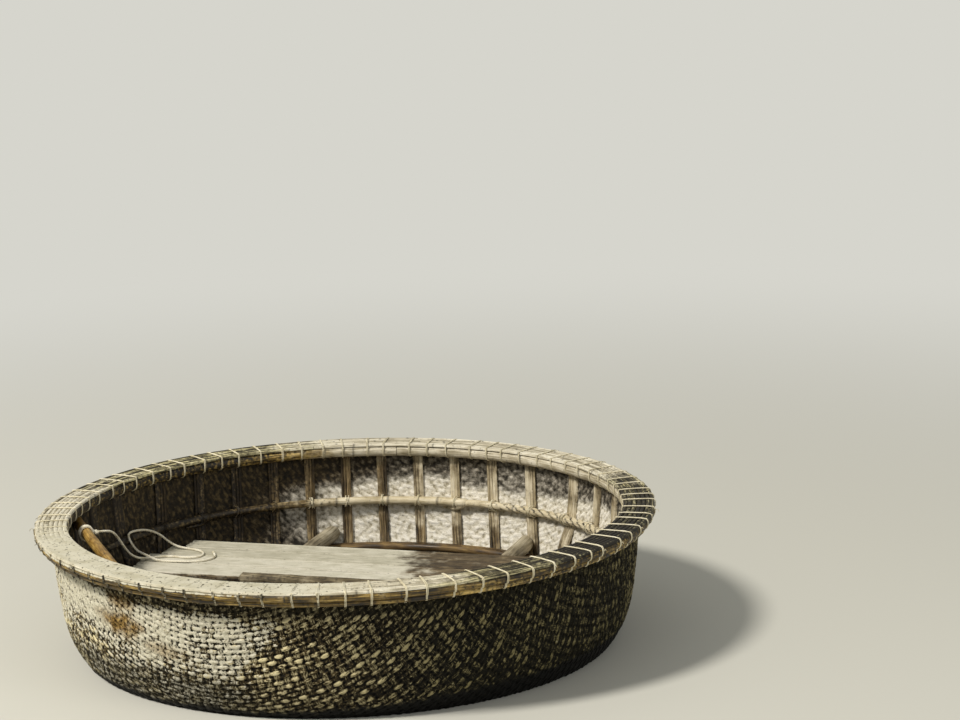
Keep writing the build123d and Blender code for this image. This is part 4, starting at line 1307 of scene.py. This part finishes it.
def board(far, near, left, right, seed, ragged):
    """One plank as a closed tube of sections along its length, in the frame of the deck."""
    picks = np.random.default_rng(seed)
    width = far - near
    cracks = np.sort(picks.uniform(0.1, 0.9, max(2, round(width / CRACK_SPACING)))) * width
    top = np.linspace(0.003, width - 0.003, round(width / 0.011))
    top = np.unique(np.concatenate([top, cracks - CRACK_HALF, cracks, cracks + CRACK_HALF]))
    top = top[(top > 0.002) & (top < width - 0.002)]
    run = np.linspace(left, right, round((right - left) / 0.016))
    run = np.unique(np.concatenate([run, [left + 0.004, right - 0.004]]))
    spot = stack(run[:, None], top, seed)
    depth = np.zeros(spot.shape[:2])
    for middle in cracks:
        start, end = np.sort(picks.uniform(left - 0.2, right + 0.2, 2))
        rough = 0.5 + 0.5 * drift(stack(run, middle, 0), 0.1, 102)
        gape = fade(run, start, start + 0.12) * fade(run, end, end - 0.12) * rough
        depth += (np.abs(top - middle) < 0.0008) * gape[:, None]
    cup = CUP * (2 * np.abs(top / width - 0.5)) ** 2
    worn = 0.0007 * drift(spot * (0.25, 6, 1), 0.05, 103)
    height = DECK_TOP - 0.0006 + cup + worn - CRACK_DEEP * depth
    near_edge = 0.0012 * drift(stack(run, 0, seed), 0.07, 104)
    far_edge = 0.0012 * drift(stack(run, 5, seed), 0.07, 107)
    if ragged:
        for amount, size, channel in ((0.004, 0.035, 105), (0.003, 0.012, 106)):
            near_edge = near_edge + amount * drift(stack(run, 0, 0), size, channel)
    columns = [stack(run, near + inwards + near_edge, DECK_TOP + up) for inwards, up in BOARD_EDGE]
    for place, column in zip(top, height.T):
        columns.append(stack(run, near + place + near_edge * (1 - place / width) ** 2, column))
    columns += [stack(run, far - inwards + far_edge, DECK_TOP + up) for inwards, up in reversed(BOARD_EDGE)]
    flat = np.stack(columns, axis=1)
    half = (right - left) / 2
    tips = fade(np.abs(run - (left + right) / 2), half - 0.05, half)[:, None]
    flat[..., 0] += tips * 0.004 * drift(stack(flat[..., 1] * 3, 0, seed), 0.02, 108)
    points = flat[..., :1] * DECK_ALONG + flat[..., 1:2] * DECK_ACROSS + flat[..., 2:] * upright
    inside = slice(len(BOARD_EDGE), -len(BOARD_EDGE))
    # The crack depth goes into node, which darkens the cracks: painted shade in them.
    cracked, outer = np.zeros(points.shape[:2]), np.ones(points.shape[1])
    cracked[:, inside], outer[inside] = depth, 0
    v = np.concatenate([[-0.02, -0.012, -0.004], top, width + np.array([0.004, 0.012, 0.02, 0.14])])
    # brown paints the right part of the deck darker and browner: painted shade.
    brown = fade(points[..., 0], 0.0, 0.36) * fade(points[..., 1], -0.25, 0.05)
    return {
        "points": points, "tube": True, "u": run + 1.9 * seed, "v": v + 0.23 * seed, "node": 0.95 * cracked,
        "tone": picks.uniform(-0.9, 0.9) + 0.4 * drift(points, 0.12, 109),
        "bleach": 0.95 - 0.75 * brown - 0.45 * outer * (0.5 + ragged),
        "grime": 0.10 + 0.28 * tips + 0.30 * outer,
    }


for number, (name, far, near, left_gap, right_gap) in enumerate(BOARDS):
    half_chord = math.sqrt(LINED_REACH**2 - max(far, -near) ** 2)
    left, right = left_gap - half_chord, half_chord - right_gap
    plank = board(far, near, left, right, 110 + number, name == RAGGED_BOARD)
    piece(name.replace("deck", "cracked"), [plank], board_wood, [name])

# %% [markdown]
# ## The loose grey pole
# A bare pole lies against the rough edge of the boards. It is heartwood that has gone grey, with long drying
# cracks and worn round ends, a little bent and thinner at one end.

# %% Loose pole
LOOSE_LONG, LOOSE_RADIUS, LOOSE_THINS, LOOSE_ROUND, LOOSE_BOW = 0.81, 0.0208, 0.0016, 0.014, 0.003
LOOSE_LEFT, LOOSE_ACROSS = 0.404, 0.0467
grey_wood = cane_finish(
    "weathered_bare_pole", ("#33291b", "#665a3f", "#978c6e"), ("#403728", "#6d624c", "#9a8f76"), "#1f190f",
    roughness=0.82, streak=0.0034, relief=0.0015,
)
run, _, knots = with_rings(np.linspace(0, LOOSE_LONG, 60), 0.27, 121)
rounded = 1 - (1 - np.clip(np.minimum(run, LOOSE_LONG - run) / LOOSE_ROUND, 0, 1)) ** 2
thick = LOOSE_RADIUS - LOOSE_THINS * run / LOOSE_LONG
thick = thick * np.sqrt(np.clip(rounded, 0.12, 1)) * (1 + 0.03 * knots)
across = LOOSE_ACROSS - LOOSE_BOW * np.sin(math.pi * run / LOOSE_LONG)
middle = DECK_ALONG * (run[:, None] - LOOSE_LEFT) + DECK_ACROSS * across[:, None]
sheet = swept(middle + upright * (DECK_TOP - BOARD_THICK + thick.max()), thick, 28)
sheet["points"] += 0.0007 * drift(sheet["points"] * (1, 1, 2), 0.02, 122)[..., None] * (0, 0.4, 1)
sheet["tone"] = 0.8 * drift(sheet["points"], 0.07, 123)
sheet["node"] = 0.3 * knots[:, None] * (drift(sheet["points"], 0.03, 124) > 0.2)
piece("loose_grey_pole", weathered([sheet], 0.5, 0.28), grey_wood, ["deck_pole"])

# %% [markdown]
# ## Damp wood under the floor
# The two bearers and the hoop that carries them lie low, where the boat is never quite dry. Their packed
# solids have the right shape and stay, and get dark damp wood. They have no UV map, so the grain is noise
# in the boat's own coordinates, stretched along the pole or, for the hoop, squeezed in height.


# %% Bearers and shelf hoop
DAMP_STOPS, AIRED = (0.62, 0.8, 1.0), ("#6d6350", "#a79c82", "#cfc6ae")


def damp_wood(name, colours, stretch, turn=0.0, dry=0.0):
    """dry says how far the wood has bleached near the wall, where the sun reaches it."""
    finish, tree, shader = new_finish(name, IOR=1.5)
    here = add(tree, "TexCoord").outputs["Object"]
    turned = add(tree, "Mapping", {"Vector": here, "Rotation": (0.0, 0.0, turn)}).outputs["Vector"]
    streaks = stretched_noise(tree, turned, stretch, Detail=6.0, Roughness=0.65)
    stains = add(tree, "TexNoise", {"Vector": here, "Scale": 13.0, "Detail": 4.0}).outputs["Fac"]
    level = add(tree, "Math", {0: stains, 1: 0.6, 2: streaks}, operation="MULTIPLY_ADD").outputs[0]
    damp, pale = [
        add(tree, "ValToRGB", {"Fac": level}, stops=list(zip(DAMP_STOPS, three))).outputs["Color"]
        for three in (colours, AIRED)
    ]
    reach = add(tree, "VectorMath", {0: here}, operation="LENGTH").outputs["Value"]
    limits = {"Value": reach, "From Min": 0.62, "From Max": 0.82, "To Max": dry}
    aired = add(tree, "MapRange", limits).outputs[0]
    colour = add(tree, "Mix", {0: aired, 6: damp, 7: pale}, data_type="RGBA").outputs[2]
    limits = {"Value": stains, "From Min": 0.35, "From Max": 0.65, "To Min": 0.4, "To Max": 0.85}
    wet = add(tree, "MapRange", limits).outputs[0]
    bump = add(tree, "Bump", {"Height": streaks, "Strength": 0.7, "Distance": 0.0016}).outputs["Normal"]
    connect(tree, shader, Base_Color=colour, Roughness=wet, Normal=bump)
    return finish


bearer_wood = damp_wood(
    "damp_round_pole", ("#1c150c", "#43331e", "#7a6442"), (190.0, 9.0, 190.0), turn=-DECK_TURN, dry=0.85
)
shelf_cane = damp_wood("damp_split_bamboo", ("#241a0d", "#5a4526", "#917748"), (14.0, 14.0, 260.0))
for name, finish in (("bearer_left", bearer_wood), ("bearer_right", bearer_wood), ("shelf_hoop", shelf_cane)):
    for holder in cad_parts[name].material_slots:
        holder.material = finish
    print(name, "gets", finish.name)

# %% [markdown]
# ## Floor and light
# The boat floats, so the pale floor lies at its waterline and has a round hole in it, a little smaller
# than the hull there: the bottom goes down through it and the inside stays dry. One large soft lamp from
# the left shapes the weave, a weaker one opens the right side, and a pale world fills the rest.

# %% Floor and light
WATERLINE, FLOOR_SPOKES, FLOOR_RINGS = 0.148, 180, (1.6, 4.0, 60.0)


def make_floor():
    """A floor that fades into a pale haze far away, so that no horizon shows."""
    finish, tree, shader = new_finish("pale_matt_floor", Roughness=0.9, IOR=1.45)
    shader.inputs["Base Color"].default_value = linear("#c9c8bf")
    here = add(tree, "TexCoord").outputs["Object"]
    away = add(tree, "VectorMath", {0: here}, operation="LENGTH").outputs["Value"]
    limits = {"Value": away, "From Min": 1.5, "From Max": 7.0}
    far = add(tree, "MapRange", limits, interpolation_type="SMOOTHSTEP").outputs[0]
    camera_ray = add(tree, "LightPath").outputs["Is Camera Ray"]
    seen = add(tree, "Math", {0: far, 1: camera_ray}, operation="MULTIPLY").outputs[0]
    haze = add(tree, "Emission", {"Color": "#d6d5cd", "Strength": 1.0})
    both = add(tree, "MixShader", {0: seen, 1: shader.outputs[0], 2: haze.outputs[0]})
    tree.links.new(both.outputs[0], tree.nodes["Material Output"].inputs["Surface"])
    turn = np.linspace(0, 2 * math.pi, FLOOR_SPOKES, endpoint=False)[:, None]
    radii = np.array([wall_radius(WATERLINE, 0.004), *FLOOR_RINGS])
    points = stack(radii * np.cos(turn), radii * np.sin(turn), WATERLINE)
    count = len(radii)
    corner = np.arange(FLOOR_SPOKES)[:, None] * count + np.arange(count - 1)
    ahead = (corner + count) % (FLOOR_SPOKES * count)
    faces = stack(corner, corner + 1, ahead + 1, ahead).reshape(-1, 4)
    mesh = bpy.data.meshes.new("floor")
    mesh.from_pydata(points.reshape(-1, 3).tolist(), [], faces.tolist())
    mesh.materials.append(finish)
    floor = bpy.data.objects.new("floor", mesh)
    bpy.context.scene.collection.objects.link(floor)


def lamp(name, place, size, power, colour="#ffffff", aim=(0.0, 0.0, 0.35)):
    """A round lamp that faces aim. size is in metres and power in watts."""
    data = bpy.data.lights.new(name, "AREA")
    data.shape, data.size, data.energy, data.color = "DISK", size, power, linear(colour)[:3]
    made = bpy.data.objects.new(name, data)
    made.location = place
    made.rotation_euler = (Vector(aim) - Vector(place)).to_track_quat("-Z", "Y").to_euler()
    bpy.context.scene.collection.objects.link(made)


make_floor()
lamp("key", (-8.1, -4.8, 11.3), 2.5, 2060.0, "#fffaf1")
lamp("side", (5.5, -6.0, 4.5), 4.0, 90.0)
world = bpy.data.worlds.new("studio")
world.use_nodes = True
world.node_tree.nodes["Background"].inputs["Color"].default_value = linear("#f1f1ea")
world.node_tree.nodes["Background"].inputs["Strength"].default_value = 0.42
bpy.context.scene.world = world
bpy.context.scene.view_settings.view_transform = "Standard"
